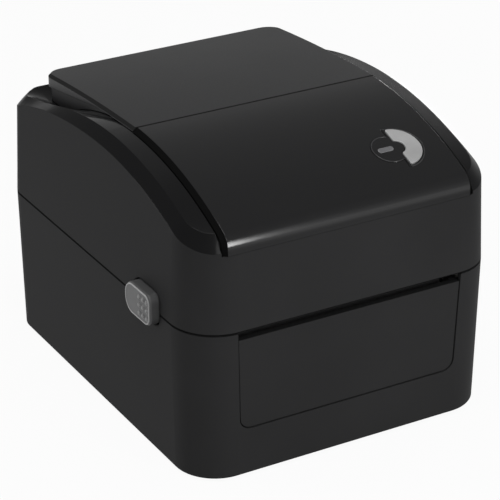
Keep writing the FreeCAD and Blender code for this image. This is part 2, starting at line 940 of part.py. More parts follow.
def tray_solids():
    """The deck, the bay's shell, the platen cheeks, and the posts below the deck and beside the buttons."""
    half, radius = cell("bay_half"), bay_radius
    cheek, thick = cell("cheek_half"), cell("cheek_width")
    post = cell("spring_post_half")
    shell, shell_top = bay_prism("tray_bay_outer", half + wall, radius + wall, deck_top)
    solids = [
        prism("tray_deck", "xy", deck_low, deck_top, [casing_outline(wall + cell("tray_gap"))]),
        cut("tray_bay_solid", shell, shell_top),
    ]
    for side in (-1, 1):
        solids.append(block("tray_cheek", between(side, cheek, cheek + thick),
                            (platen_y - cell("cheek_front"), platen_y + cell("cheek_rear")),
                            (deck_top - cell("cheek_depth"), deck_top)))
        seat = between(side, spring_post_x - cell("spring_post_thickness"), spring_post_x)
        solids.append(block("tray_spring_post", seat, (button_y - post, button_y + post),
                            (deck_top - over, button_z + post)))
    for spot in screw_spots():
        solids.append(rod("tray_post", "z", floor_top + seat_gap, deck_top - rooted, spot,
                          cell("post_radius")))
    for x, y in corner_spots(half - cell("carrier_post_inset"), cell("carrier_post_spread")):
        solids.append(rod("tray_carrier_post", "z", rack_low - cell("rack_gap"), roll_z - radius + wall,
                          (x, roll_y + y), cell("carrier_post_radius")))
    return solids


def make_media_tray():
    half, radius = cell("bay_half"), bay_radius
    cheek, thick = cell("cheek_half"), cell("cheek_width")
    front, high = -half_depth - beyond, deck_top + over
    gear_end = gear_start() + cell("gear_width") + cell("gear_room")
    hollow, hollow_top = bay_prism("tray_bay_inner", half, radius, roll_z)
    sensor_x, sensor_y = cell("sensor_half"), platen_y + cell("sensor_offset")
    sensor_end = sensor_y + cell("sensor_depth")
    tools = [
        hollow,
        hollow_top,
        block("tray_well", (-cheek, cheek), (front, platen_y + cell("well_room")),
              (deck_low - cell("well_depth"), high)),
        block("tray_front_gap", (-cheek - thick - beyond, cheek + thick + beyond),
              (front, -half_depth + cell("front_room")), (0, high)),
        block("tray_gear_gap", (cheek + thick + flush_gap, gear_end),
              (front, platen_y + gear_tip("platen_teeth") + cell("gear_clear")), (0, high)),
        block("tray_sensor_gap", (-sensor_x - seat_gap, sensor_x + seat_gap),
              (sensor_y - seat_gap, sensor_end + seat_gap),
              (deck_top - cell("sensor_drop") - flush_gap, high)),
    ]
    seat = cell("bearing_radius") + run_gap
    reach = cell("button_length") / 2 + cell("button_gap") + cell("button_lap") + cell("notch_gap")
    notch = button_inside() - cell("button_flange") - cell("button_travel") - cell("notch_gap")
    slot_in = cell("guide_half") - cell("leg_in") - cell("guide_travel") - cell("slot_gap")
    slot_out = cell("guide_half") + cell("leg_out") + cell("slot_gap")
    wide = cell("leg_half") + cell("leg_gap")
    for side in (-1, 1):
        ends = between(side, cheek - over, cheek + thick + over)
        tools.append(rod("tray_bearing_seat", "x", ends[0], ends[1], (platen_y, platen_z), seat))
        tools.append(block("tray_bearing_mouth", ends, (platen_y - seat, platen_y + seat), (platen_z, high)))
        tools.append(block("tray_button_notch", between(side, notch, half_width),
                           (button_y - reach, button_y + reach), (deck_low - over, high)))
        leg = guide_leg_y(side)
        tools.append(block("tray_guide_slot", between(side, slot_in, slot_out), (leg - wide, leg + wide),
                           (rack_low, roll_z - radius + cell("slot_rise"))))
    for spot in screw_spots():
        tools.append(rod("tray_screw_hole", "z", 0, floor_top + cell("screw_reach") + 2 * over, spot,
                         cell("screw_radius") + run_gap))
    keep("media_tray", cut("media_tray", fuse("tray_solid", *tray_solids()), *tools))
    sensor = new_body("gap_sensor")
    pad(sensor, "xy", deck_top - cell("sensor_drop"), deck_top + cell("sensor_rise"),
        [rectangle((-sensor_x, sensor_x), (sensor_y, sensor_end), cell("sensor_corner"))])
    window, inset = cell("sensor_window_half"), cell("sensor_window_inset")
    pocket(sensor, "xy", deck_top - rooted, high,
           [rectangle((-window, window), (sensor_y + inset, sensor_end - inset), cell("sensor_corner"))])


# Gear teeth: involute flanks drawn as arcs between a root and a tip circle, whose distances from the
# pitch circle are counted in modules.

pressure, tooth_top, tooth_root = math.radians(20), 0.9, 1.2


def gear_face(teeth, gap):
    module = cell("gear_module").value
    pitch = module * teeth / 2
    base = pitch * math.cos(pressure)
    tip, low = pitch + tooth_top * module, pitch - tooth_root * module
    start = max(base * 1.001, low + 0.05)

    def half_angle(radius):
        press = math.acos(base / radius)
        play = gap / (2 * pitch)
        return math.pi / (2 * teeth) - play + math.tan(pressure) - pressure - math.tan(press) + press

    def spot(radius, angle):
        return V(radius * math.cos(angle), radius * math.sin(angle), 0)

    edges = []
    middle = (start + tip) / 2
    for tooth in range(teeth):
        at = 2 * math.pi * tooth / teeth
        after = at + 2 * math.pi / teeth
        foot = half_angle(start)
        edges.append(Part.makeLine(spot(low, at - foot), spot(start, at - foot)))
        edges.append(Part.Arc(spot(start, at - foot), spot(middle, at - half_angle(middle)),
                              spot(tip, at - half_angle(tip))).toShape())
        edges.append(Part.Arc(spot(tip, at - half_angle(tip)), spot(tip, at),
                              spot(tip, at + half_angle(tip))).toShape())
        edges.append(Part.Arc(spot(tip, at + half_angle(tip)), spot(middle, at + half_angle(middle)),
                              spot(start, at + foot)).toShape())
        edges.append(Part.makeLine(spot(start, at + foot), spot(low, at + foot)))
        edges.append(Part.Arc(spot(low, at + foot), spot(low, (at + after) / 2),
                              spot(low, after - foot)).toShape())
    return Part.Face(Part.Wire(edges))


def gear(label, teeth, bore, width_size, turn, place, axis):
    """A spur gear with a plain bore and, on the larger ones, a web thinned from both sides."""
    wide = width_size.value
    thinned, rim_teeth = 0.3 * wide, 2.8
    solid = gear_face(teeth, cell("gear_gap").value).extrude(V(0, 0, wide))
    solid = solid.cut(Part.makeCylinder(bore.value, wide + 2 * over, V(0, 0, -over)))
    rim = cell("gear_module").value * (teeth / 2 - rim_teeth)
    hub = bore.value + cell("gear_hub").value
    if rim > hub + thinned:
        ring = Part.makeCylinder(rim, thinned).cut(Part.makeCylinder(hub, thinned))
        solid = solid.cut(ring).cut(ring.translated(V(0, 0, wide - thinned)))
    item = keep(label, formed(label, solid))
    lay = FreeCAD.Rotation(V(0, 0, 1), AXES[axis])
    if axis == "x":
        lay = FreeCAD.Rotation(V(0, 1, 0), V(0, 0, 1), V(1, 0, 0), "XYZ")
    spin = FreeCAD.Rotation(V(0, 0, 1), math.degrees(turn))
    item.Placement = FreeCAD.Placement(place, lay.multiply(spin))
    return item


def pitch_sum(first, second):
    return cell("gear_module") * (cell(first) + cell(second)) / 2 + run_gap


def idler_centre():
    reach = pitch_sum("platen_teeth", "idler_teeth")
    across = cell("idler_offset")
    return platen_y + across, platen_z - root(reach * reach - across * across)


def pinion_centre():
    reach = pitch_sum("idler_teeth", "pinion_teeth")
    across = cell("pinion_offset")
    y, z = idler_centre()
    return y + across, z - root(reach * reach - across * across)


def gear_plate_x():
    return cell("cheek_half") + cell("cheek_width") + seat_gap


def gear_start():
    return gear_plate_x() + cell("gear_plate_thickness") + cell("gear_side_gap")


def angle_between(start, end):
    return math.atan2(end[1].value - start[1].value, end[0].value - start[0].value)


def make_drive():
    platen = (platen_y, platen_z)
    idler, pinion = idler_centre(), pinion_centre()
    start, wide = gear_start(), cell("gear_width")
    teeth = {name: int(cell(f"{name}_teeth").value) for name in ("platen", "idler", "pinion")}
    down = angle_between(platen, idler)
    over_turn = angle_between(idler, pinion)
    idler_turn = down + math.pi + math.pi / teeth["idler"]
    lead = (over_turn - idler_turn) * teeth["idler"] / (2 * math.pi)
    slip = (lead - math.floor(lead)) * 2 * math.pi / teeth["pinion"]
    pinion_turn = over_turn + math.pi + math.pi / teeth["pinion"] + slip
    layout = {
        "platen_gear": (teeth["platen"], cell("shaft_radius"), platen, down),
        "idler_gear": (teeth["idler"], cell("stud_radius") + run_gap, idler, idler_turn),
        "motor_pinion": (teeth["pinion"], cell("motor_shaft_radius"), pinion, pinion_turn),
    }
    for label, (count, bore, spot, turn) in layout.items():
        gear(label, count, bore, wide, turn, V(start.value, spot[0].value, spot[1].value), "x")
    make_gear_plate(idler, pinion)
    stud, head = cell("stud_radius"), cell("stud_radius") + cell("stud_head")
    face = start + wide + cell("gear_side_gap")
    end = face + cell("stud_head_thickness")
    turned("idler_stud", [(gear_plate_x(), 0), (end, 0), (end, head), (face, head), (face, stud),
                          (gear_plate_x(), stud)])
    move(parts["idler_stud"], 0, *idler)
    make_motor(pinion, start + wide)


def make_gear_plate(idler, pinion):
    near, far = gear_plate_x(), gear_plate_x() + cell("gear_plate_thickness")
    front, top = platen_y - cell("gear_plate_front"), deck_low - seat_gap
    rear = pinion[0] + cell("motor_ear_pitch") + cell("gear_plate_edge")
    low = pinion[1] - cell("gear_plate_drop")
    corner, top_corner = cell("gear_plate_corner"), cell("gear_plate_top_corner")
    plate = new_body("gear_plate")
    pad(plate, "yz", near, far,
        [[(front, platen_z - cell("gear_plate_side")), (idler[0] - cell("stud_radius") * 2, low, corner),
          (rear, low, corner), (rear, top, top_corner), (front, top, top_corner)]])
    pocket(plate, "yz", near - over, far + over, [],
           [(pinion[0], pinion[1], cell("motor_boss_radius") + 2 * seat_gap),
            (idler[0], idler[1], cell("stud_radius"))])
    mouth = cell("bearing_radius") + 2 * seat_gap
    pocket(plate, "yz", near - over, far + over,
           [rectangle((platen_y - mouth, platen_y + mouth), (platen_z - mouth, deck_top + over))])


def make_motor(centre, shaft_end):
    can, long = cell("motor_radius"), cell("motor_length")
    face = gear_plate_x() - flush_gap
    ear, ear_radius, thick = cell("motor_ear_pitch"), cell("motor_ear_radius"), cell("motor_ear_thickness")
    y, z = centre
    motor = new_body("stepper_motor")
    pad(motor, "yz", face - long, face - thick, [], [(y, z, can)])
    edge_round(motor, cell("motor_round"), lambda e: e.Curve.TypeId == "Part::GeomCircle")
    pad(motor, "yz", face - thick, face,
        [rectangle((y - ear - ear_radius, y + ear + ear_radius), (z - ear_radius, z + ear_radius),
                   ear_radius - flush_gap)])
    pad(motor, "yz", face - thick, face, [], [(y, z, can - cell("motor_lip"))])
    pad(motor, "yz", face, face + cell("motor_boss_height"), [], [(y, z, cell("motor_boss_radius"))])
    hole = cell("screw_radius") + cell("screw_gap")
    pocket(motor, "yz", face - 2 * over, face + 2 * over, [], [(y - ear, z, hole), (y + ear, z, hole)])
    shaft, start = cell("motor_shaft_radius"), face - cell("motor_shaft_depth")
    pocket(motor, "yz", start - rooted, face + 2 * over, [], [(y, z, shaft + run_gap)])
    end = shaft_end + over
    turned("motor_shaft", [(start, 0), (end, 0), (end, shaft), (start, shaft)])
    move(parts["motor_shaft"], 0, y, z)


def make_platen():
    core, shaft, half = cell("platen_core_radius"), cell("shaft_radius"), cell("platen_half")
    cheek, thick = cell("cheek_half"), cell("cheek_width")
    right = gear_start() + cell("gear_width") + cell("shaft_end")
    left = -(cheek + thick + 2 * seat_gap)
    shoulder = half + cell("platen_shoulder")
    turned("platen_shaft", [(left, 0), (right, 0), (right, shaft), (shoulder, shaft), (shoulder, core),
                            (-shoulder, core), (-shoulder, shaft), (left, shaft)])
    turned("platen_rubber", [(-half, core), (half, core), (half, cell("platen_radius")),
                             (-half, cell("platen_radius"))])
    for label in ("platen_shaft", "platen_rubber"):
        move(parts[label], 0, platen_y, platen_z)
    bushes = []
    outer, spot = cell("bearing_radius"), (platen_y, platen_z)
    face = cheek - flush_gap
    lip = face - cell("bearing_flange")
    for side in (-1, 1):
        start, end = between(side, lip, cheek + thick)
        sleeve = rod("bearing_sleeve", "x", start, end, spot, outer)
        flange = rod("bearing_lip", "x", *between(side, lip, face), spot, outer + cell("bearing_lip"))
        hole = rod("bearing_bore", "x", start - over, end + over, spot, shaft + run_gap)
        bushes.append(cut("bearing", fuse("bearing_body", sleeve, flange), hole))
    group("platen_bearings", bushes)


# Roll guides: two uprights on racks that one pinion under the bay moves together.

def make_guides():
    half, thick = cell("guide_half"), cell("guide_thickness")
    top, bottom = roll_z + cell("guide_top"), roll_z - bay_radius - 2 * beyond
    reach = bay_radius - seat_gap - flush_gap
    low_half, top_half, corner = cell("guide_low_half"), cell("guide_top_half"), cell("guide_corner")
    window = rectangle((roll_y - cell("guide_window_half"), roll_y + cell("guide_window_half")),
                       (roll_z - cell("guide_window_low"), roll_z - cell("guide_window_high")),
                       cell("guide_window_corner"))
    wide = cell("leg_half")
    for name, side in SIDES.items():
        ends = between(side, half, half - thick)
        upright = prism(f"{name}_guide_plate", "yz", ends[0], ends[1],
                        [[(roll_y - low_half, bottom), (roll_y + low_half, bottom),
                          (roll_y + top_half, top, corner), (roll_y - top_half, top, corner)], window])
        disc = rod(f"{name}_guide_reach", "x", ends[0] - over, ends[1] + over, (roll_y, roll_z), reach)
        leg_y = guide_leg_y(side)
        leg = block(f"{name}_guide_leg", between(side, half + cell("leg_out"), half - cell("leg_in")),
                    (leg_y - wide, leg_y + wide),
                    (rack_low + cell("rack_height") + flush_gap, roll_z - reach + cell("leg_lap")))
        stub = between(side, half - thick / 2, half - thick - cell("hub_length") - over)
        pin = rod(f"{name}_guide_axle", "x", stub[0], stub[1], (roll_y, roll_z), cell("axle_radius"))
        plate = common(f"{name}_guide_upright", upright, disc)
        keep(f"{name}_guide", fuse(f"{name}_guide", plate, leg, pin))
        make_hub(f"{name}_core_hub", side)
        make_rack(f"{name}_rack", side)
    make_guide_pinion()


def make_hub(label, side):
    face = cell("guide_half") - cell("guide_thickness") - seat_gap
    flange, radius, bevel = cell("hub_flange"), cell("hub_radius"), cell("hub_bevel")
    rim, bore = cell("hub_flange_radius"), cell("axle_radius") + run_gap
    end = face - cell("hub_length")
    turned(label, [(side * face, bore), (side * face, rim), (side * (face - flange), rim),
                   (side * (face - flange), radius), (side * (end + bevel), radius),
                   (side * end, radius - bevel), (side * end, bore)])
    move(parts[label], 0, roll_y, roll_z)


def make_rack(label, side):
    """A straight bar with teeth along one edge, long enough to stay in mesh over the whole travel."""
    module, tall = cell("gear_module").value, cell("rack_height").value
    step = math.pi * module
    slope = math.tan(pressure)
    outer, inner = -(cell("guide_half") + cell("leg_out")).value, cell("rack_overrun").value
    play = cell("gear_gap").value / 2
    first = math.ceil((outer + over) / step - 0.5)
    last = math.floor((inner - over) / step - 0.5)
    top, low = tooth_top * module, -tooth_root * module
    back = low - cell("rack_width").value
    spots = [V(outer, back, 0), V(outer, low, 0)]
    for tooth in range(first, last + 1):
        middle = (tooth + 0.5) * step
        for height, sign in ((low, -1), (top, -1), (top, 1), (low, 1)):
            half = step / 4 - height * slope - play
            spots.append(V(middle + sign * half, height, 0))
    spots += [V(inner, low, 0), V(inner, back, 0)]
    bar = Part.Face(Part.makePolygon(spots + spots[:1])).extrude(V(0, 0, tall))
    item = keep(label, formed(label, bar))
    turn = 0 if side < 0 else 180
    line = roll_y + side * (rack_pitch() + run_gap)
    item.Placement = FreeCAD.Placement(V(0, line.value, rack_low.value), FreeCAD.Rotation(V(0, 0, 1), turn))


def make_guide_pinion():
    teeth = int(cell("guide_teeth").value)
    stud, half = cell("stud_radius"), cell("bay_half")
    gear("guide_pinion", teeth, stud + run_gap, cell("rack_height"), math.pi / 2,
         V(0, roll_y.value, rack_low.value), "z")
    top = rack_low - cell("rack_gap")
    wide = cell("carrier_post_spread") + cell("carrier_post_radius") + cell("carrier_edge")
    carrier = new_body("rack_carrier")
    pad(carrier, "xy", top - cell("carrier_thickness"), top - flush_gap,
        [rectangle((-half, half), (roll_y - wide, roll_y + wide), cell("carrier_corner"))])
    pad(carrier, "xy", top - 2 * flush_gap, rack_low + cell("rack_height") + 2 * seat_gap, [],
        [(0, roll_y, stud)])


# Release buttons, their latches and springs.

def button_inside():
    """Distance from the middle plane to the back of a button's face, where its flange begins."""
    return half_width - wall - cell("button_seat")


def button_openings(name):
    """Tools that cut the two button openings, each with a bevelled outer edge."""
    gap, lip = cell("button_gap"), cell("button_lip")
    tools = [prism(f"{name}_openings", "yz", -half_width - beyond, half_width + beyond,
                   [button_outline(gap)])]
    for side in (-1, 1):
        plans = []
        for margin, x in ((gap, half_width - lip), (gap + 2 * lip, half_width + lip)):
            sketch = doc.addObject("Sketcher::SketchObject", f"{name}_flare_plan")
            sketch.Placement = FreeCAD.Placement(V(), PLANE_TURNS["yz"])
            bind(sketch, "Placement.Base.x", side * x)
            add_outline(sketch, button_outline(margin))
            plans.append(sketch)
        flare = doc.addObject("Part::Loft", f"{name}_flare")
        flare.Sections = plans
        flare.Solid = True
        flare.Ruled = True
        tools.append(flare)
    return tools


def make_buttons():
    flange, wide = cell("button_flange"), cell("latch_half_width")
    face, inner, hook = half_width + cell("button_proud"), button_inside(), hook_outside()
    rise, row = cell("dimple_rise"), (-1, 0, 1)
    spots = [(button_y - cell("dimple_offset") + i * cell("dimple_column_pitch"),
              button_z + j * cell("dimple_pitch"), cell("dimple_radius")) for i in row for j in row]
    for name, side in SIDES.items():
        body = new_body(f"{name}_release_button")
        pad(body, "yz", *between(side, inner, face), [button_outline(as_size(0))])
        edge = side * face.value
        edge_round(body, cell("button_edge"), lambda e, edge=edge: abs(e.BoundBox.XMin - edge) < 0.01
                   and abs(e.BoundBox.XMax - edge) < 0.01)
        pad(body, "yz", *between(side, inner, inner - flange),
            [button_outline(cell("button_gap") + cell("button_lap"))])
        pad(body, "yz", *between(side, inner - flange, hook),
            [rectangle((button_y - wide, button_y + wide),
                       (deck_top + seat_gap, button_z + cell("stem_rise")))])
        pad(body, "yz", *between(side, face - rise, face + rise), [], spots)
        make_latch(name, side, hook)
        make_button_spring(name, side, hook)


def hook_outside():
    """Distance from the middle plane to the outer face of the latch arms."""
    return half_width - wall - cell("catch_depth") - seat_gap - cell("latch_nose")


def make_latch(name, side, outside):
    wide = cell("latch_half_width") - cell("latch_side_gap")
    foot = deck_top + seat_gap
    top = button_z + cell("latch_height")
    nose = top - cell("catch_thickness")
    tip = outside + cell("latch_nose")
    near = outside - flush_gap
    far = near - cell("latch_thickness")
    outline = [(side * far, foot), (side * near, foot), (side * near, nose), (side * tip, nose),
               (side * near, top), (side * far, top)]
    body = new_body(f"{name}_latch")
    pad(body, "xz", button_y - wide, button_y + wide, [outline])


def make_button_spring(name, side, outside):
    gap = cell("spring_gap")
    start = (spring_post_x + gap).value
    end = (outside - flush_gap - cell("latch_thickness") - gap).value
    coil = helix_tube(cell("spring_radius").value, cell("spring_wire").value, end - start,
                      int(cell("button_spring_turns").value))
    item = keep(f"{name}_button_spring", formed(f"{name}_button_spring", coil))
    lay = FreeCAD.Rotation(V(0, 0, 1), V(side, 0, 0))
    item.Placement = FreeCAD.Placement(V(side * start, button_y.value, button_z.value), lay)


# Springs: one unbroken wire along a helix, drawn as pairs of tangent arcs for each half turn.

def biarc(start, start_way, end, end_way):
    gap = end - start
    both = start_way + end_way
    spread = 2 * (1 - start_way.dot(end_way))
    slope = gap.dot(both)
    reach = (math.sqrt(slope * slope + spread * gap.dot(gap)) - slope) / spread
    first, last = start + start_way * reach, end - end_way * reach
    joint = (first + last) * 0.5
    return [bend(start, first, joint), bend(joint, last, end)]


def bend(start, corner, end):
    """The arc from start to end that is tangent to the two lines through the corner."""
    chord = (start + end) * 0.5
    rise = (corner - chord).Length / (start - chord).Length
    quarter = math.tan(math.atan(rise) / 2)
    return Part.Arc(start, chord + (corner - chord) * (quarter / rise), end).toShape()


def helix_tube(radius, wire, length, turns):
    pitch = length / turns
    reach = math.hypot(2 * math.pi * radius, pitch)

    def spot(angle):
        return V(radius * math.cos(angle), radius * math.sin(angle), pitch * angle / (2 * math.pi))

    def way(angle):
        round_part = 2 * math.pi * radius / reach
        return V(-math.sin(angle) * round_part, math.cos(angle) * round_part, pitch / reach)

    edges = []
    for step in range(turns * 4):
        low, high = step * math.pi / 2, (step + 1) * math.pi / 2
        edges += biarc(spot(low), way(low), spot(high), way(high))
    path = Part.Wire(edges)
    ring = Part.Wire(Part.makeCircle(wire, spot(0), way(0)))
    shell = Part.BRepOffsetAPI.MakePipeShell(path)
    shell.add(ring)
    shell.build()
    shell.makeSolid()
    points = [spot(i * math.pi / 16) for i in range(turns * 32)]
    gaps = [a.distanceToPoint(b) - 2 * wire for i, a in enumerate(points) for b in points[i + 16:]]
    print(f"spring self gap {min(gaps):.2f} mm")
    return Part.Solid(shell.shape())


# Hinge: brackets on the tray's deck, pins, and the ears of the cover frame between the knuckles.

def make_hinge():
    ear, thick, wide = hinge_ear_x, cell("hinge_ear_width"), cell("knuckle_width")
    radius, pin = cell("hinge_ear_radius"), cell("hinge_pin_radius")
    half = thick / 2 + cell("hinge_side_gap")
    near, far = ear - half, ear + half
    foot, rear = deck_top + flush_gap, hinge_y - cell("hinge_rear_gap")
    spot = (hinge_y, hinge_z)
    brackets, pins = [], []
    for side in (-1, 1):
        solids = []
        for start, end in ((near - wide, near), (far, far + wide)):
            low, high = between(side, start, end)
            solids.append(rod("knuckle", "x", low, high, spot, radius))
            solids.append(prism("knuckle_web", "yz", low, high,
                                [[(hinge_y - cell("hinge_web_depth"), foot), (rear, foot), (rear, hinge_z),
                                  (hinge_y - radius, hinge_z)]]))
        low, high = between(side, near - wide, far + wide)
        solids.append(block("knuckle_foot", (low, high), (hinge_y - cell("hinge_foot_depth"), rear),
                            (foot, foot + cell("hinge_foot_height"))))
        hole = rod("knuckle_bore", "x", low - over, high + over, spot, pin + cell("press_gap"))
        brackets.append(cut("hinge_bracket", fuse("hinge_bracket_body", *solids), hole))
        inset = cell("pin_inset")
        pins.append(rod("hinge_pin", "x", low + inset, high - inset, spot, pin))
    group("hinge_brackets", brackets)
    group("hinge_pins", pins)


# Cover: an arched shell, its two top panels and the frame inside.

def arch(apex_y, apex_z, front_arc, rear_arcs):
    """The height along an arch that is level at its apex: one arc before it, and behind it arcs that
    follow on smoothly, each given by its end and its radius, negative where it is hollow."""
    def height(y):
        if y < apex_y:
            return apex_z - front_arc + math.sqrt(front_arc ** 2 - (y - apex_y) ** 2)
        at, z, lean = apex_y, apex_z, 0.0
        for end, arc in rear_arcs:
            stop = min(y, end)
            steep = lean + (stop - at) / arc
            z -= arc * (math.sqrt(1 - lean ** 2) - math.sqrt(1 - steep ** 2))
            at, lean = stop, steep
        return z

    return height


def arch_section(x, height, breaks, floor):
    """A closed section along the cover: an arc over each stretch between two breaks, and a level floor."""
    spots = [V(x, y, height(y)) for y in breaks]
    edges = []
    for before, after in zip(spots, spots[1:]):
        y = (before.y + after.y) / 2
        edges.append(Part.Arc(before, V(x, y, height(y)), after).toShape())
    low_front, low_rear = V(x, breaks[0], floor), V(x, breaks[-1], floor)
    edges += [Part.makeLine(spots[-1], low_rear), Part.makeLine(low_rear, low_front),
              Part.makeLine(low_front, spots[0])]
    return Part.Wire(edges)


def crown(name, drop):
    """The arched form that tops the cover, lowered by drop: a deck between two rising shoulders."""
    reach, turn = half_depth.value + over, cell("arch_turn").value
    apex = cell("crest_apex").value
    crest = arch(apex, (seam + cell("crest_rise")).value - drop, cell("crest_front_arc").value,
                 [(turn, cell("crest_rear_arc").value), (reach, -cell("crest_end_arc").value)])
    step = cell("deck_step").value
    panel_arc = cell("panel_arc").value - step
    deck = arch(cell("panel_apex").value, (seam + cell("panel_rise")).value - step - drop, panel_arc,
                [(apex, panel_arc), (turn, cell("deck_rear_arc").value), (reach, -cell("valley_arc").value)])
    deck_x, outside = deck_half.value, half_width.value + over
    crest_x = (half_width - cell("crest_inset")).value
    share = (outside - deck_x) / (crest_x - deck_x)

    def shoulder(y):
        return deck(y) + share * (crest(y) - deck(y))

    breaks = [-reach, apex, turn, reach]
    floor = seam.value - beyond
    rows = [(-outside, shoulder), (-deck_x, deck), (deck_x, deck), (outside, shoulder)]
    sections = [arch_section(x, line, breaks, floor) for x, line in rows]
    return formed(name, Part.makeLoft(sections, True, True))


def faces_up(shape):
    chosen = []
    for face in shape.Faces:
        u_low, u_high, v_low, v_high = face.ParameterRange
        if face.normalAt((u_low + u_high) / 2, (v_low + v_high) / 2).z > 0.3:
            chosen.append(face)
    return chosen


def rim_edges(faces):
    """The outer edges of a group of faces, in order round the middle."""
    edges = [edge for face in faces for edge in face.Edges]
    outer = [edge for edge in edges if sum(edge.isSame(other) for other in edges) == 1]
    return sorted(outer, key=lambda edge: math.atan2(edge.CenterOfMass.y, edge.CenterOfMass.x))


def bevelled(lower, upper):
    """One solid of a lower form and the top of a smaller, higher one, with a band between their rims."""
    top, cap = faces_up(upper), faces_up(lower)
    rims = rim_edges(cap), rim_edges(top)
    if len(rims[0]) != len(rims[1]):
        raise RuntimeError("the two rims of the cover do not match")
    band = []
    for below, above in zip(*rims):
        ends = [edge.valueAt(edge.FirstParameter) for edge in (below, above)]
        tail = above.valueAt(above.LastParameter)
        if ends[0].distanceToPoint(tail) < ends[0].distanceToPoint(ends[1]):
            curve = above.Curve.copy()
            first = curve.reversedParameter(above.LastParameter)
            last = curve.reversedParameter(above.FirstParameter)
            curve.reverse()
            above = curve.toShape(first, last)
        band.append(Part.makeRuledSurface(below, above))
    sides = [face for face in lower.Faces if not any(face.isSame(other) for other in cap)]
    shell = Part.makeShell(sides + band + top)
    shell.sewShape()
    return Part.makeSolid(shell)


def wall_ways():
    """The directions straight out of the cover's front wall and up along it."""
    lean = math.atan2(cell("cover_draft").value, cell("cover_height").value)
    return V(0, -math.cos(lean), math.sin(lean)), V(0, math.sin(lean), math.cos(lean))


def panel_centre():
    return V(0, cell("panel_apex").value, (seam + cell("panel_rise") - cell("panel_arc")).value)


def panel_turn():
    """The middle of the glossy panel's front edge arc, tangent to its top and to the front wall."""
    out, up = wall_ways()
    centre, edge = panel_centre(), cell("panel_edge_arc").value
    reach = (V(0, -half_depth.value, seam.value) - centre).dot(out) - edge
    rise = math.sqrt((cell("panel_arc").value - edge) ** 2 - reach ** 2)
    return centre + out * reach + up * rise


def panel_face(inner, outer, rear):
    """A layer of the glossy panel between two depths below its surface, as a face in the YZ plane."""
    arc, edge = cell("panel_arc").value, cell("panel_edge_arc").value
    centre, turn = panel_centre(), panel_turn()
    out_way, up = wall_ways()
    lip = turn.z - cell("panel_lip").value

    def curve(depth_in):
        lean = (turn - centre).normalize()
        steep = (lean + out_way).normalize()
        big, small = arc - depth_in, edge - depth_in

        def crest(y):
            return V(0, y, centre.z + math.sqrt(big ** 2 - (y - centre.y) ** 2))

        top, front = turn + lean * small, turn + out_way * small
        low = front - up * ((front.z - lip) / up.z)
        return crest(rear), crest((rear + turn.y) / 2), top, turn + steep * small, front, low

    out, deep = curve(outer), curve(inner)
    edges = [Part.Arc(out[0], out[1], out[2]).toShape(), Part.Arc(out[2], out[3], out[4]).toShape(),
             Part.makeLine(out[4], out[5]), Part.makeLine(out[5], deep[5]), Part.makeLine(deep[5], deep[4]),
             Part.Arc(deep[4], deep[3], deep[2]).toShape(), Part.Arc(deep[2], deep[1], deep[0]).toShape(),
             Part.makeLine(deep[0], out[0])]
    return Part.Face(Part.Wire(edges)), lip


def key_frame():
    """The place and turn of the feed key's own frame, whose Z leaves the panel squarely."""
    arc, apex_y = cell("panel_arc").value, cell("panel_apex").value
    y = (cell("key_inset") - half_depth).value
    z = (seam + cell("panel_rise")).value - arc + math.sqrt(arc ** 2 - (y - apex_y) ** 2)
    tilt = math.degrees(math.asin((apex_y - y) / arc))
    return FreeCAD.Placement(V(cell("key_x").value, y, z), FreeCAD.Rotation(V(1, 0, 0), tilt))


def make_top_panel():
    half = panel_half.value
    face, _ = panel_face(cell("panel_thickness").value, 0,
                         (cell("panel_seam") - cell("panel_seam_gap") / 2).value)
    face.translate(V(-half, 0, 0))
    slab = face.extrude(V(2 * half, 0, 0))
    outer_arcs = (cell("panel_arc").value, cell("panel_edge_arc").value)
    sides = [edge for edge in slab.Edges if hasattr(edge.Curve, "Radius")
             and min(abs(edge.Curve.Radius - arc) for arc in outer_arcs) < 1e-6]
    slab = slab.makeChamfer(cell("panel_bevel").value, sides)
    hole = key_insert(cell("bezel_gap").value, -through, through)
    hole.Placement = key_frame()
    keep("top_panel", formed("top_panel", slab.cut(hole)))


def plate_top(y):
    """The height of the rear plate's top, a very flat arc, at a given y."""
    arc, along = cell("plate_arc"), y - cell("plate_apex")
    return seam + cell("panel_rise") - arc + root(arc * arc - along * along)


def plate_plan(name, inset):
    """The plan of the rear plate, drawn in at its sides and rear, as a tall prism."""
    half, corner = panel_half - inset, cell("plate_corner") - inset
    front, rear = cell("panel_seam") + cell("panel_seam_gap") / 2, plate_rear - inset
    return prism(name, "xy", seam + cell("plinth_low"), above,
                 [[(-half, front), (half, front), (half, rear, corner), (-half, rear, corner)]])


def plate_under(name, half, front, rear, low, lift):
    """All below the rear plate's lower edge, which falls away faster than its top does."""
    step = cell("plate_step")
    return prism(name, "yz", -half, half,
                 [[(front, low), (rear, low), (rear, plate_top(rear) - cell("plate_rear_edge") + lift),
                   (step, plate_top(step) - cell("plate_step_edge") + lift),
                   (front, plate_top(front) - cell("plate_front_edge") + lift)]])


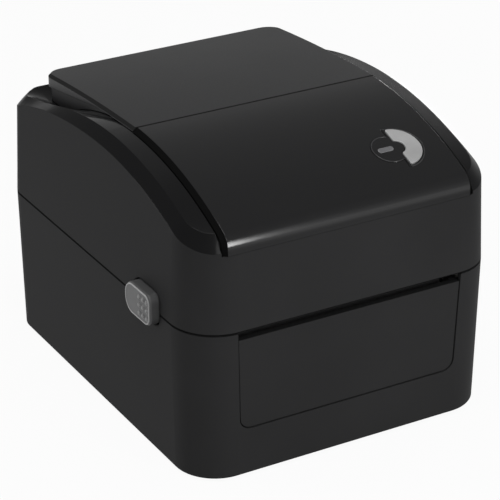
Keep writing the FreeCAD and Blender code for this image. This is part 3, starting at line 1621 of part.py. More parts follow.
def make_rear_plate():
    front, inset, skin = cell("panel_seam"), cell("plinth_inset"), cell("plate_skin")
    arc = cell("plate_arc")
    dome = rod("plate_dome", "x", -half_width, half_width,
               (cell("plate_apex"), seam + cell("panel_rise") - arc), arc)
    full = common("plate_full", plate_plan("plate_outline", as_size(0)), dome)
    doc.recompute()
    bevel = doc.addObject("Part::Chamfer", "plate_bevelled")
    bevel.Base = full
    size = cell("plate_bevel").value
    top_edges = max(full.Shape.Faces, key=lambda face: face.CenterOfMass.z).Edges
    bevel.Edges = [(i + 1, size, size) for i, edge in enumerate(full.Shape.Edges)
                   if any(edge.isSame(other) for other in top_edges)
                   and edge.BoundBox.YMax > front.value + over]
    below = plate_under("plate_below", half_width, front - over, half_depth, seam, as_size(0))
    cap = cut("plate_cap", bevel, below)
    plinth_front = front + cell("plinth_front_gap")
    under = plate_under("plate_middle", half_width, plinth_front, half_depth, seam + cell("plinth_low"),
                        as_size(rooted))
    plinth = common("plate_plinth", plate_plan("plinth_outline", inset), under)
    foot = cut("plate_plinth_foot", plinth, crown("plate_deck", -cell("plinth_gap").value))
    hollow = plate_under("plate_hollow", panel_half - inset - skin, plinth_front + skin,
                         plate_rear - inset - 2 * skin, seam, 0 - skin / 2)
    keep("rear_plate", cut("rear_plate", fuse("plate_whole", cap, foot), hollow))


def make_cover_shell():
    low, bevel = seam + seam_gap, cell("rim_bevel")
    lower = common("cover_lower", cover_form("cover_walls", as_size(0), low, above),
                   crown("cover_band_low", bevel.value))
    upper = common("cover_upper", cover_form("cover_crest_walls", bevel, low, above), crown("cover_crown", 0))
    doc.recompute()
    outer = formed("cover_outer", bevelled(lower.Shape, upper.Shape))
    inner = common("cover_inner", cover_form("cover_room", wall, seam - over, above),
                   crown("cover_ceiling", roof.value))
    depth_in = cell("panel_thickness") + cell("panel_seat_gap")
    face, lip = panel_face(depth_in.value, -2 * through, cell("panel_seam").value)
    deck_x = deck_half.value
    face.translate(V(-deck_x, 0, 0))
    seat = formed("cover_panel_seat", face.extrude(V(2 * deck_x, 0, 0)))
    panel_front = panel_turn().y - cell("panel_edge_arc").value
    thick_front = block("cover_front_beam", (-deck_half - wall, deck_half + wall),
                        (-half_depth - beyond, panel_front + depth_in + wall), (lip - wall, above))
    room = cut("cover_hollow", inner, thick_front)
    posts = common("cover_posts", fuse("cover_post_rods", *cover_posts()), inner)
    shell = fuse("cover_posted", cut("cover_open", outer, room), posts)
    hinge_gap = block("cover_hinge_gap", (-half_width - beyond, half_width + beyond),
                      (hinge_y, half_depth + beyond), (0, hinge_z))
    mouth = cell("button_length") / 2 + cell("button_gap")
    below = block("cover_button_mouths", (-half_width - beyond, half_width + beyond),
                  (button_y - mouth, button_y + mouth), (0, button_z))
    holes = [rod("cover_screw_hole", "z", seam, top + cell("cover_screw_reach") + over, spot,
                 cell("screw_radius") + run_gap) for spot, top in cover_screw_spots()]
    keep("cover_shell", cut("cover_shell", shell, seat, hinge_gap, below, *button_openings("cover_button"),
                            *key_wells(), *holes))


def key_wells():
    """Holes through the roof under the glossy panel, for the key's stem and the light's pipe."""
    gap = cell("well_gap").value
    stem = Part.makeCylinder(cell("key_stem_radius").value + gap, 2 * through,
                             V(cell("key_stem_x").value, 0, -through))
    wells = []
    for well in (stem, light_slot(gap, -through, through)):
        well.Placement = key_frame()
        wells.append(formed("cover_key_well", well))
    return wells


def cover_screw_spots():
    """Where the cover frame is screwed up into the cover, with the height of each seat."""
    beam_top, arm_top = seam + cell("beam_high"), seam + cell("arm_high")
    spots = []
    for side in (-1, 1):
        spots.append(((side * cell("beam_screw_x"), beam_front + cell("beam_screw_inset")), beam_top))
        spots.append(((side * hinge_ear_x, cell("boss_y")), arm_top))
    return spots


def cover_posts():
    rods = [rod("cover_post", "z", top + flush_gap, above, spot, cell("post_radius"))
            for spot, top in cover_screw_spots()]
    frame = key_frame()
    low = (cell("board_thickness") + flush_gap - cell("key_board_drop")).value
    for side in (-1, 1):
        foot = V(cell("key_post_x").value, side * cell("key_post_spread").value, low)
        post = Part.makeCylinder(cell("key_post_radius").value, 2 * through, foot)
        post.Placement = frame
        rods.append(formed("cover_key_post", post))
    return rods


def beam_outline(inset):
    """The plan of the head beam, whose front corners are cut off to follow the cover's corners."""
    half, corner, long = beam_half - inset, cell("beam_corner"), cell("beam_corner_long")
    front, rear = beam_front + inset, beam_rear - inset
    return [(-half, front + long), (-half + corner, front), (half - corner, front), (half, front + long),
            (half, rear), (-half, rear)]


def make_cover_frame():
    low, high = seam + cell("beam_low"), seam + cell("beam_high")
    beam = prism("beam_outer", "xy", low, high, [beam_outline(as_size(0))])
    hollow = prism("beam_inner", "xy", low - over, high - wall, [beam_outline(wall)])
    ear, thick, radius = hinge_ear_x, cell("hinge_ear_width"), cell("hinge_ear_radius")
    arm_low, arm_high, boss_y = seam + cell("arm_low"), seam + cell("arm_high"), cell("boss_y")
    start, corner, tail = beam_rear - over, cell("arm_corner"), cell("arm_tail")
    arm = [(start, arm_low, corner), (hinge_y - cell("arm_bend"), arm_low, cell("arm_bend_radius")),
           (hinge_y - radius, hinge_z - over), (hinge_y, hinge_z),
           (hinge_y + cell("ear_tip_y"), hinge_z + cell("ear_tip_z")), (hinge_y - tail, arm_high, tail),
           (start, arm_high, corner)]
    solids = [cut("beam", beam, hollow)]
    for side in (-1, 1):
        ends = between(side, ear - thick / 2, ear + thick / 2)
        solids.append(prism("frame_arm", "yz", ends[0], ends[1], [arm]))
        solids.append(rod("frame_ear", "x", ends[0], ends[1], (hinge_y, hinge_z), radius))
        solids.append(rod("frame_boss", "z", arm_low + cell("boss_rise"), arm_high, (side * ear, boss_y),
                          cell("boss_radius")))
    tools = [rod("frame_pin_hole", "x", -half_width, half_width, (hinge_y, hinge_z),
                 cell("hinge_pin_radius") + run_gap)]
    boss_seat = arm_low + cell("boss_seat_depth")
    for spot, top in cover_screw_spots():
        tools.append(rod("frame_screw_hole", "z", seam, top + over, spot,
                         cell("screw_radius") + cell("screw_gap")))
    for side in (-1, 1):
        tools.append(rod("frame_boss_seat", "z", arm_low, boss_seat, (side * ear, boss_y),
                         cell("screw_head_radius") + seat_gap))
    keep("cover_frame", cut("cover_frame", fuse("frame_whole", *solids), *tools))
    screws = []
    for i, (spot, top) in enumerate(cover_screw_spots()):
        seat = (high - wall if i % 2 == 0 else boss_seat) - flush_gap
        head = rod("cover_screw_head", "z", seat - cell("screw_head_height"), seat, spot,
                   cell("screw_head_radius"))
        shank = rod("cover_screw_shank", "z", seat - cell("screw_head_height"),
                    top + cell("cover_screw_reach"), spot, cell("screw_radius"))
        screws.append(fuse("cover_screw", head, shank))
    group("cover_screws", screws)
    make_catches()


def make_catches():
    catches = []
    top = button_z + cell("latch_height") - cell("catch_thickness") - seat_gap
    wide = cell("latch_half_width") + cell("catch_side")
    for side in (-1, 1):
        ends = between(side, button_inside(), half_width - wall - cell("catch_depth"))
        catches.append(block("latch_catch", ends, (button_y - wide, button_y + wide),
                             (top - cell("catch_thickness"), top)))
    group("latch_catches", catches)


def make_print_head():
    half, front = cell("head_half"), platen_y - cell("head_front")
    low = platen_z + cell("platen_radius") + cell("head_gap")
    top = low + cell("head_thickness")
    head = new_body("print_head")
    pad(head, "yz", -half, half, [rectangle((front, platen_y + cell("head_rear")), (low, top))])
    edge_round(head, cell("head_bevel"), lambda e: abs(e.BoundBox.ZMax - low.value) < 0.01
               and e.Length > half.value, "PartDesign::Chamfer")
    sink_half, sink_low = cell("sink_half"), top + flush_gap
    root_z, sink_top = sink_low + cell("sink_base"), sink_low + cell("sink_height")
    rear = platen_y + cell("sink_rear")
    fins = int(cell("sink_fins").value)
    step = (rear - front) / fins
    fin_front, fin_rear = step * 0.95, step * 0.45
    profile = [(front, sink_low), (rear, sink_low), (rear, root_z)]
    for fin in range(fins):
        start = rear - step * fin
        profile += [(start - fin_rear, root_z), (start - fin_rear, sink_top),
                    (start - fin_front, sink_top), (start - fin_front, root_z)]
    profile.append((front, root_z))
    sink = new_body("head_heatsink")
    pad(sink, "yz", -sink_half, sink_half, [profile])
    make_head_bracket(sink_half, sink_low, sink_top)
    make_tear_bar()


def make_head_bracket(sink_half, sink_low, sink_top):
    """The sprung yoke over the heat sink, with the pins and springs between it and the beam."""
    thick = cell("bracket_thickness")
    low = sink_top + cell("bracket_gap")
    high, foot = low + thick, sink_low + cell("bracket_rise")
    outer = sink_half + seat_gap + thick
    inner = outer - thick
    bracket = new_body("head_bracket")
    pad(bracket, "xz", platen_y - cell("bracket_front"), platen_y + cell("bracket_rear"),
        [[(-outer, foot), (-inner, foot), (-inner, low), (inner, low), (inner, foot), (outer, foot),
          (outer, high), (-outer, high)]])
    pin, pin_x, y = cell("head_pin_radius"), cell("head_pin_x"), platen_y + cell("head_pin_y")
    pocket(bracket, "xy", low - over, high + over, [], [(s * pin_x, y, pin + run_gap) for s in (-1, 1)])
    ceiling = seam + cell("beam_high") - wall
    pins = [rod("head_pin", "z", low - flush_gap, ceiling - flush_gap, (s * pin_x, y), pin) for s in (-1, 1)]
    group("head_pins", pins)
    gap = cell("head_spring_gap")
    length = ceiling - high - 2 * gap
    coils = []
    for place in (-1, 0, 1):
        coil = formed("head_spring", helix_tube(cell("spring_radius").value, cell("spring_wire").value,
                                                length.value, int(cell("head_spring_turns").value)))
        spot = V((place * cell("spring_pitch_x")).value, y.value, (high + gap).value)
        coil.Placement = FreeCAD.Placement(spot, FreeCAD.Rotation())
        coils.append(coil)
    group("head_springs", coils)


def make_tear_bar():
    """A strip whose lower edge is a row of pointed teeth."""
    half = (cell("head_half") + cell("tear_bar_side")).value
    count = round(2 * half / cell("tear_tooth").value)
    step = 2 * half / count
    low, high = (seam + seam_gap).value, (seam + cell("tear_bar_height")).value
    notch = low + cell("tear_tooth_depth").value
    y = (beam_front - cell("tear_bar_gap") - cell("tear_bar_thickness")).value
    spots = [V(-half, y, high)]
    for tooth in range(count):
        spots.append(V(-half + step * tooth, y, notch))
        spots.append(V(-half + step * (tooth + 0.5), y, low))
    spots += [V(half, y, notch), V(half, y, high)]
    face = Part.Face(Part.makePolygon(spots + spots[:1]))
    keep("tear_bar", formed("tear_bar", face.extrude(V(0, cell("tear_bar_thickness").value, 0))))


# Feed key, its bezel and the status light, in the frame of the glossy panel's surface.

def half_disc(radius, start, low, high):
    """The part of a disc about the key's own axis that lies beyond x = start, between two levels."""
    half = math.sqrt(radius ** 2 - start ** 2)
    wire = Part.Wire([
        Part.Arc(V(start, -half, low), V(radius, 0, low), V(start, half, low)).toShape(),
        Part.makeLine(V(start, half, low), V(start, -half, low)),
    ])
    return Part.Face(wire).extrude(V(0, 0, high - low))


def key_insert(margin, low, high):
    """The outline of the key's insert between two levels: round the half ring, and round the light."""
    gap, rim = cell("key_gap").value, cell("key_rim").value
    half = half_disc(cell("key_radius").value + gap + rim + margin,
                     cell("key_cut").value - gap - rim - margin, low, high)
    dish = Part.makeCylinder(cell("dish_radius").value + margin, high - low, V(cell("dish_x").value, 0, low))
    return half.fuse(dish).removeSplitter()


def light_slot(margin, low, high):
    """The oblong of the status light, grown by margin, between two levels."""
    radius = cell("light_height").value / 2 + margin
    run = (cell("light_length") - cell("light_height")).value / 2
    x, tall = cell("light_x").value, high - low
    ends = [Part.makeCylinder(radius, tall, V(x + s * run, 0, low)) for s in (-1, 1)]
    middle = Part.makeBox(2 * run, 2 * radius, tall, V(x - run, -radius, low))
    return ends[0].fuse([ends[1], middle]).removeSplitter()


def make_key():
    frame = key_frame()
    radius, inner, gap = cell("key_radius").value, cell("key_inner_radius").value, cell("key_gap").value
    edge, stem_x, stem = cell("key_cut").value, cell("key_stem_x").value, cell("key_stem_radius").value
    top = cell("key_proud").value
    under = top - cell("key_thickness").value
    floor = under - (cell("key_travel") + 2 * flush_gap).value
    low = floor - cell("bezel_thickness").value

    body = key_insert(0, low, over).cut(half_disc(radius + gap, edge - gap, floor, 2 * over))
    boss = Part.makeCylinder(inner - gap, over - floor, V(0, 0, floor))
    arc = cell("panel_arc").value
    below_surface = Part.makeCylinder(arc + cell("bezel_proud").value, 4 * radius,
                                      V(-2 * radius, 0, -arc), V(1, 0, 0))
    bezel = body.fuse(boss).removeSplitter().common(below_surface)
    bezel = bezel.cut(light_slot(cell("flush_gap").value, low - over, 2 * over))
    bezel = bezel.cut(Part.makeCylinder(stem + gap, 2 * through, V(stem_x, 0, -through)))
    keep("key_bezel", formed("key_bezel", bezel)).Placement = frame

    ring = half_disc(radius, edge, under, top).cut(Part.makeCylinder(inner, 2 * through, V(0, 0, -through)))
    upright = [e for e in ring.Edges if e.BoundBox.ZLength > top - under - 0.01]
    ring = ring.makeFillet(cell("key_corner").value, upright)
    rim = [e for e in ring.Edges if e.BoundBox.ZMin > top - 0.01]
    ring = ring.makeFillet(cell("key_edge").value, rim)
    long = cell("key_stem_length").value
    post = Part.makeCylinder(stem, long, V(stem_x, 0, under + rooted - long))
    keep("feed_key", formed("feed_key", ring.fuse(post).removeSplitter())).Placement = frame

    light = light_slot(0, -cell("light_depth").value, cell("light_proud").value)
    keep("status_light", formed("status_light", light)).Placement = frame

    long, wide, drop = (cell(f"key_board_{name}").value for name in ("length", "width", "drop"))
    board_top = cell("board_thickness").value - drop
    board = Part.makeBox(long, wide, cell("board_thickness").value, V(-long / 2, -wide / 2, -drop))
    tall, side = cell("key_part_height").value, cell("key_switch_width").value
    switch = Part.makeBox(side, side, tall, V(stem_x - side / 2, -side / 2, board_top))
    long, wide = cell("key_lamp_length").value, cell("key_lamp_width").value
    lamp = Part.makeBox(long, wide, tall, V(cell("light_x").value - long / 2, -wide / 2, board_top))
    keep("key_board", formed("key_board", board.fuse([switch, lamp]))).Placement = frame


# Electronics and the sockets in the rear wall.

def make_electronics():
    low = floor_top + cell("board_rise") + flush_gap
    top = low + cell("board_thickness")
    half = cell("board_half")
    board = new_body("main_board")
    pad(board, "xy", low, top, [rectangle((-half, half), (cell("board_front"), board_rear()),
                                          cell("board_corner"))])
    mid, rear = socket_middle() + flush_gap, half_depth - cell("socket_inset")
    seat, high = top + flush_gap, mid + cell("socket_half_height")
    x, half = cell("usb_x"), cell("usb_half")
    shell = new_body("usb_socket")
    pad(shell, "xz", rear - cell("usb_length"), rear,
        [rectangle((x - half, x + half), (seat, high), cell("socket_corner"))])
    mouth, rise, cut_off = cell("usb_mouth_half"), cell("usb_mouth_rise"), cell("usb_shoulder")
    deep = cell("usb_mouth_depth")
    pocket(shell, "xz", rear - deep, rear + over,
           [[(x - mouth, mid - rise), (x + mouth, mid - rise), (x + mouth, mid + rise - cut_off),
             (x + mouth - cut_off, mid + rise), (x - mouth + cut_off, mid + rise),
             (x - mouth, mid + rise - cut_off)]])
    tongue, thick = cell("usb_tongue_half"), cell("usb_tongue_rise")
    pad(shell, "xz", rear - deep - rooted, rear - cell("usb_tongue_inset"),
        [rectangle((x - tongue, x + tongue), (mid - thick, mid + thick))])
    x, half, deep = cell("dc_x"), cell("dc_half"), cell("dc_mouth_depth")
    jack = new_body("dc_socket")
    pad(jack, "xz", rear - cell("dc_length"), rear,
        [rectangle((x - half, x + half), (seat, high), cell("socket_corner"))])
    pocket(jack, "xz", rear - deep, rear + over, [], [(x, mid, cell("dc_mouth_radius"))])
    pad(jack, "xz", rear - deep - rooted, rear - cell("dc_pin_inset"), [], [(x, mid, cell("dc_pin_radius"))])
    make_switch()


def make_switch():
    x, z = cell("switch_x"), switch_middle()
    long, tall = cell("switch_length") / 2, cell("switch_height") / 2
    inner = half_depth - cell("base_draft") - wall - seat_gap
    pivot_y = inner - cell("rocker_pivot_depth")
    skin, pin = cell("switch_skin"), cell("rocker_pivot_radius")
    bottom = inner - cell("switch_depth")
    housing = new_body("switch_housing")
    pad(housing, "xz", bottom, inner, [rectangle((x - long - skin, x + long + skin),
                                                 (z - tall - skin, z + tall + skin), cell("switch_corner"))])
    pocket(housing, "xz", bottom + cell("switch_floor"), inner + over,
           [rectangle((x - long, x + long), (z - tall, z + tall), cell("switch_corner"))])
    pocket(housing, "xy", z - tall - 2 * skin, z + tall + 2 * skin, [], [(x, pivot_y, pin + run_gap)])
    lean = math.tan(math.radians(cell("switch_tilt").value))
    reach, face, base = long - cell("rocker_gap"), cell("rocker_face"), cell("rocker_root")
    end, edge = face + reach * lean, cell("rocker_edge")
    wide, pin_end = tall - cell("rocker_side_gap"), tall + cell("rocker_pin_lap")
    rocker = new_body("switch_rocker")
    pad(rocker, "xy", -wide, wide, [[(-reach, end), (-reach, edge), (-base, -base), (base, -base),
                                     (reach, edge), (reach, end), (0, face)]])
    pad(rocker, "xy", -pin_end, pin_end, [], [(0, 0, pin)])
    rocker.Placement = FreeCAD.Placement(V(x.value, pivot_y.value, z.value),
                                         FreeCAD.Rotation(V(0, 0, 1), -cell("switch_tilt").value))


make_base_casing()
make_front_panel()
make_feet_and_screws()
make_media_tray()
make_drive()
make_platen()
make_guides()
make_buttons()
make_hinge()
make_top_panel()
make_rear_plate()
make_cover_shell()
make_cover_frame()
make_print_head()
make_key()
make_electronics()
doc.recompute()

for item in doc.Objects:
    if "Invalid" in item.State or "Error" in item.State:
        raise RuntimeError(f"{item.Label} failed: {item.State}")
os.makedirs("parts", exist_ok=True)
for label, item in parts.items():
    shape = item.Shape
    if shape.isNull() or not shape.isValid() or not shape.Solids:
        raise RuntimeError(f"{label} has no valid solid")
    shape.exportStep(f"parts/{label}.step")
    print(f"{label}: {len(shape.Solids)} solid(s), {shape.Volume / 1000:.2f} cm3")
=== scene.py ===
import math

import bmesh
import bpy
from mathutils import Matrix, Vector


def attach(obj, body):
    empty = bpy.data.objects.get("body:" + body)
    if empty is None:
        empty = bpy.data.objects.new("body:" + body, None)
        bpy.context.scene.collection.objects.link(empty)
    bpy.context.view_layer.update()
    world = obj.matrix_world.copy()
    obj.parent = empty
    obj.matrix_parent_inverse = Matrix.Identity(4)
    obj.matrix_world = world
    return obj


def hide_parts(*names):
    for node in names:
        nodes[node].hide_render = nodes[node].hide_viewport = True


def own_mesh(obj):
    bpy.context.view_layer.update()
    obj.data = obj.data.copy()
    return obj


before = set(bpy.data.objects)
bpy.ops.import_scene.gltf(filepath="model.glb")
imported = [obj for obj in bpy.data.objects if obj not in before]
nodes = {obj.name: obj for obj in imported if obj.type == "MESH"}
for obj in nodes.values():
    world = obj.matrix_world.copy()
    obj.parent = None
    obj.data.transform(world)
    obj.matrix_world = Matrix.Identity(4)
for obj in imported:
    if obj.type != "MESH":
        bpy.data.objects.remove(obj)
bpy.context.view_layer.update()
mm = 0.001
scene = bpy.context.scene
scene.view_settings.view_transform = "Standard"


# camera, from the picture's own perspective
cameraSetup = {
    "target": (2.72, 0.0, 66.11),   # mm
    "distance": 1242.6,             # mm
    "azimuth": -29.845,
    "elevation": 26.228,
    "focalPixels": 2327.69,
    "framePixels": 500,
    "sensor": 36.0,                 # mm
    "clip": (0.01, 50.0),           # m
}


def aimMatrix(eye, target):
    look = (target - eye).normalized()
    side = look.cross(Vector((0, 0, 1))).normalized()
    up = side.cross(look)
    turn = Matrix((side, up, -look)).transposed().to_4x4()
    return Matrix.Translation(eye) @ turn


def addCamera(setup):
    az, el = math.radians(setup["azimuth"]), math.radians(setup["elevation"])
    way = Vector((math.sin(az) * math.cos(el), -math.cos(az) * math.cos(el), math.sin(el)))
    target = Vector(setup["target"]) * mm
    data = bpy.data.cameras.new("studioCamera")
    data.sensor_width = setup["sensor"]
    data.lens = setup["sensor"] * setup["focalPixels"] / setup["framePixels"]
    data.clip_start, data.clip_end = setup["clip"]
    camera = bpy.data.objects.new("studioCamera", data)
    scene.collection.objects.link(camera)
    camera.matrix_world = aimMatrix(target + way * setup["distance"] * mm, target)
    scene.camera = camera


addCamera(cameraSetup)
print("camera placed")


# node helpers
def newMaterial(name):
    material = bpy.data.materials.new(name)
    material.use_nodes = True
    tree = material.node_tree
    tree.nodes.clear()
    output = tree.nodes.new("ShaderNodeOutputMaterial")
    shader = tree.nodes.new("ShaderNodeBsdfPrincipled")
    tree.links.new(shader.outputs["BSDF"], output.inputs["Surface"])
    return material, tree, shader


def addNode(tree, kind, links=None, settings=None, **values):
    node = tree.nodes.new(kind)
    for key, value in (settings or {}).items():
        setattr(node, key, value)
    for key, value in values.items():
        node.inputs[key].default_value = value
    for key, source in (links or {}).items():
        tree.links.new(source, node.inputs[key])
    return node


def math2(tree, operation, first, second):
    node = tree.nodes.new("ShaderNodeMath")
    node.operation = operation
    for socket, value in zip(node.inputs, (first, second)):
        if isinstance(value, (int, float)):
            socket.default_value = value
        else:
            tree.links.new(value, socket)
    return node.outputs["Value"]


def noiseOn(tree, vector, scale, detail=2.0, roughness=0.5):
    node = addNode(tree, "ShaderNodeTexNoise", {"Vector": vector})
    node.inputs["Scale"].default_value = scale
    node.inputs["Detail"].default_value = detail
    node.inputs["Roughness"].default_value = roughness
    return node.outputs["Fac"]


def spread(tree, value, low, high, fromLow=0.3, fromHigh=0.7):
    node = addNode(tree, "ShaderNodeMapRange", {"Value": value})
    node.inputs["From Min"].default_value = fromLow
    node.inputs["From Max"].default_value = fromHigh
    node.inputs["To Min"].default_value = low
    node.inputs["To Max"].default_value = high
    return node.outputs["Result"]


def tint(tree, amount, first, second):
    node = tree.nodes.new("ShaderNodeMix")
    node.data_type = "RGBA"
    for socket, colour in zip([s for s in node.inputs if s.type == "RGBA"], (first, second)):
        if isinstance(colour, tuple):
            socket.default_value = (*colour, 1)
        else:
            tree.links.new(colour, socket)
    tree.links.new(amount, node.inputs[0])
    return [socket for socket in node.outputs if socket.type == "RGBA"][0]


def between(tree, share, first, second):       # a number that runs from first to second
    gain = math2(tree, "MULTIPLY", math2(tree, "SUBTRACT", second, first), share)
    return math2(tree, "ADD", gain, first)


edgeSizes = {"samples": 6, "turn": (0.80, 0.995)}      # turn: cosine between rounded and flat normal


def roundedEdge(tree, radius):
    bevel = tree.nodes.new("ShaderNodeBevel")   # rounds the edge and marks where it is
    bevel.samples = edgeSizes["samples"]
    bevel.inputs["Radius"].default_value = radius
    shape = tree.nodes.new("ShaderNodeNewGeometry")
    dot = addNode(tree, "ShaderNodeVectorMath", settings={"operation": "DOT_PRODUCT"})
    tree.links.new(bevel.outputs["Normal"], dot.inputs[0])
    tree.links.new(shape.outputs["Normal"], dot.inputs[1])
    mark = spread(tree, dot.outputs["Value"], 1.0, 0.0, *edgeSizes["turn"])
    return bevel.outputs["Normal"], mark


def bumpOn(tree, height, strength, distance, normal=None):
    bump = tree.nodes.new("ShaderNodeBump")
    bump.inputs["Strength"].default_value = strength
    bump.inputs["Distance"].default_value = distance
    tree.links.new(height, bump.inputs["Height"])
    if normal is not None:
        tree.links.new(normal, bump.inputs["Normal"])
    return bump.outputs["Normal"]


def objectVector(tree):
    return tree.nodes.new("ShaderNodeTexCoord").outputs["Object"]


# where a moulding is polished, and its share of gloss: by the way it faces, or above a height
polishSizes = {                     # shares of the upright, and the lip's height in mm
    "rise": (0.20, 0.45), "glossRise": (0.88, 0.96), "leastGloss": 0.12, "lip": (126.0, 129.0),
}


def facingUp(tree):
    facing = tree.nodes.new("ShaderNodeTexCoord").outputs["Normal"]
    rise = addNode(tree, "ShaderNodeSeparateXYZ", {"Vector": facing}).outputs["Z"]
    share = spread(tree, rise, 0.0, 1.0, *polishSizes["rise"])
    gloss = spread(tree, rise, polishSizes["leastGloss"], 1.0, *polishSizes["glossRise"])
    return share, gloss


def aboveLip(tree):
    place = addNode(tree, "ShaderNodeSeparateXYZ", {"Vector": objectVector(tree)})
    low, high = polishSizes["lip"]
    share = spread(tree, place.outputs["Z"], 0.0, 1.0, low * mm, high * mm)
    return share, share


# edges that lie in shade: the chamfers along both sides, the joints between the mouldings, the slot's sill
shadeSizes = {                      # joints and reaches in mm, leans as shares of the normal
    "plateJoint": -12.55, "plateReach": (0.55, 0.95), "caseJoint": 83.4, "caseReach": (0.50, 0.75),
    "panelLean": (0.25, 0.50), "plateLean": (0.20, 0.40), "level": (0.5, 0.8), "sill": 0.5,
    "colour": (0.004, 0.004, 0.004), "roughness": 0.95,
}


def facingParts(tree):
    facing = tree.nodes.new("ShaderNodeTexCoord").outputs["Normal"]
    way = addNode(tree, "ShaderNodeSeparateXYZ", {"Vector": facing})
    return math2(tree, "ABSOLUTE", way.outputs["X"], 0.0), way.outputs["Z"]


def nearJoint(tree, axis, joint, reach):
    place = addNode(tree, "ShaderNodeSeparateXYZ", {"Vector": objectVector(tree)})
    off = math2(tree, "ABSOLUTE", math2(tree, "SUBTRACT", place.outputs[axis], joint * mm), 0.0)
    return spread(tree, off, 1.0, 0.0, reach[0] * mm, reach[1] * mm)


def panelShade(tree):
    across, _ = facingParts(tree)
    joint = nearJoint(tree, "Y", shadeSizes["plateJoint"], shadeSizes["plateReach"])
    return math2(tree, "MAXIMUM", spread(tree, across, 0.0, 1.0, *shadeSizes["panelLean"]), joint)


def plateShade(tree):
    across, rise = facingParts(tree)
    lean = math2(tree, "MULTIPLY", across, rise)
    joint = nearJoint(tree, "Y", shadeSizes["plateJoint"], shadeSizes["plateReach"])
    return math2(tree, "MAXIMUM", spread(tree, lean, 0.0, 1.0, *shadeSizes["plateLean"]), joint)


def caseShade(tree):
    _, rise = facingParts(tree)
    upright = spread(tree, math2(tree, "ABSOLUTE", rise, 0.0), 1.0, 0.0, *shadeSizes["level"])
    joint = nearJoint(tree, "Z", shadeSizes["caseJoint"], shadeSizes["caseReach"])
    return math2(tree, "MULTIPLY", upright, joint)


def slotShade(tree):
    _, rise = facingParts(tree)
    sill = spread(tree, rise, 0.0, shadeSizes["sill"], *shadeSizes["level"])
    return math2(tree, "MAXIMUM", sill, caseShade(tree))


# moulded plastics: spark-eroded grain, slight flow mottling, and a colour painted along the edges: painted
# shade on the casing and plate, a painted highlight on the buttons, lighter edges on the inner parts
plasticSizes = {
    "grainDetail": 3.0, "grainRoughness": 0.6, "grainShine": 0.03, "grainDepth": 0.05,      # depth in mm
    "mottleDetail": 4.0, "paintedEdgeScale": 260, "paintedEdgeLeast": 0.45,
}


def mouldedPlastic(name, look, polish=None, shading=None):
    material, tree, shader = newMaterial(name)
    vector = objectVector(tree)
    sizes = plasticSizes
    grain = noiseOn(tree, vector, look["grainScale"], sizes["grainDetail"], sizes["grainRoughness"])
    mottle = noiseOn(tree, vector, look["mottleScale"], sizes["mottleDetail"])
    normal, edge = roundedEdge(tree, look["edge"] * mm)
    # share of the colour painted along the edges, broken up by noise: painted shade on the casing and plate,
    # a painted highlight on the buttons
    paintedEdgeShare = math2(tree, "MULTIPLY", edge, look["paintedEdgeStrength"])
    patchy = spread(tree, noiseOn(tree, vector, sizes["paintedEdgeScale"]), sizes["paintedEdgeLeast"], 1.0)
    paintedEdgeMask = math2(tree, "MULTIPLY", paintedEdgeShare, patchy)
    body = tint(tree, spread(tree, mottle, 0.0, 1.0), look["dark"], look["light"])
    rough = spread(tree, mottle, *look["roughness"])
    rough = math2(tree, "ADD", rough, spread(tree, grain, -sizes["grainShine"], sizes["grainShine"]))
    shade = shading(tree) if shading else None
    if polish:
        share, shine = polish["where"](tree)
        body = tint(tree, share, body, polish["colour"])
        rough = between(tree, share, rough, polish["roughness"])
        grain = math2(tree, "MULTIPLY", grain, between(tree, share, 1.0, polish["grain"]))
        coat = math2(tree, "MULTIPLY", math2(tree, "MULTIPLY", share, shine), polish["coat"])
        if shading:
            coat = math2(tree, "MULTIPLY", coat, math2(tree, "SUBTRACT", 1.0, shade))
        tree.links.new(coat, shader.inputs["Coat Weight"])
        tree.links.new(normal, shader.inputs["Coat Normal"])
        shader.inputs["Coat Roughness"].default_value = polish["coatRoughness"]
    if shading:
        body = tint(tree, shade, body, shadeSizes["colour"])
        rough = between(tree, shade, rough, shadeSizes["roughness"])
    # lays the edges' painted shade or painted highlight over the body
    tree.links.new(tint(tree, paintedEdgeMask, body, look["paintedEdgeColour"]), shader.inputs["Base Color"])
    tree.links.new(rough, shader.inputs["Roughness"])
    bump = bumpOn(tree, grain, look["grain"], sizes["grainDepth"] * mm, normal)
    tree.links.new(bump, shader.inputs["Normal"])
    shader.inputs["Specular IOR Level"].default_value = look["specular"]
    return material


# edges and seams painted darker than the body: painted shade
casingLook = {
    "dark": (0.0210, 0.0210, 0.0214), "light": (0.0250, 0.0250, 0.0255), "paintedEdgeColour": (0.006, 0.006, 0.006),
    "grainScale": 1700, "mottleScale": 14, "grain": 0.30, "edge": 0.55, "paintedEdgeStrength": 0.85,
    "roughness": (0.50, 0.57), "specular": 0.02,
}
shoulderPolish = {                  # the cover's bevelled band and shoulders
    "where": facingUp, "colour": (0.0068, 0.0068, 0.0071), "roughness": 0.40, "grain": 0.10,
    "coat": 0.70, "coatRoughness": 0.12,
}
panelPolish = {                     # the panel's face above its lip
    "where": aboveLip, "colour": (0.0105, 0.0105, 0.0109), "roughness": 0.38, "grain": 0.15,
    "coat": 0.75, "coatRoughness": 0.10,
}
# the key bezel's lip painted lighter than the panel: a painted highlight line all round it
lipGlintPolish = {**panelPolish, "colour": (0.032, 0.032, 0.033), "coatRoughness": 0.24}
# edges and joints painted darker than the body: painted shade
satinLook = {
    "dark": (0.0165, 0.0165, 0.0172), "light": (0.020, 0.020, 0.0208), "paintedEdgeColour": (0.006, 0.006, 0.006),
    "grainScale": 1500, "mottleScale": 11, "grain": 0.22, "edge": 0.60, "paintedEdgeStrength": 0.80,
    "roughness": (0.44, 0.50), "specular": 0.26,
}
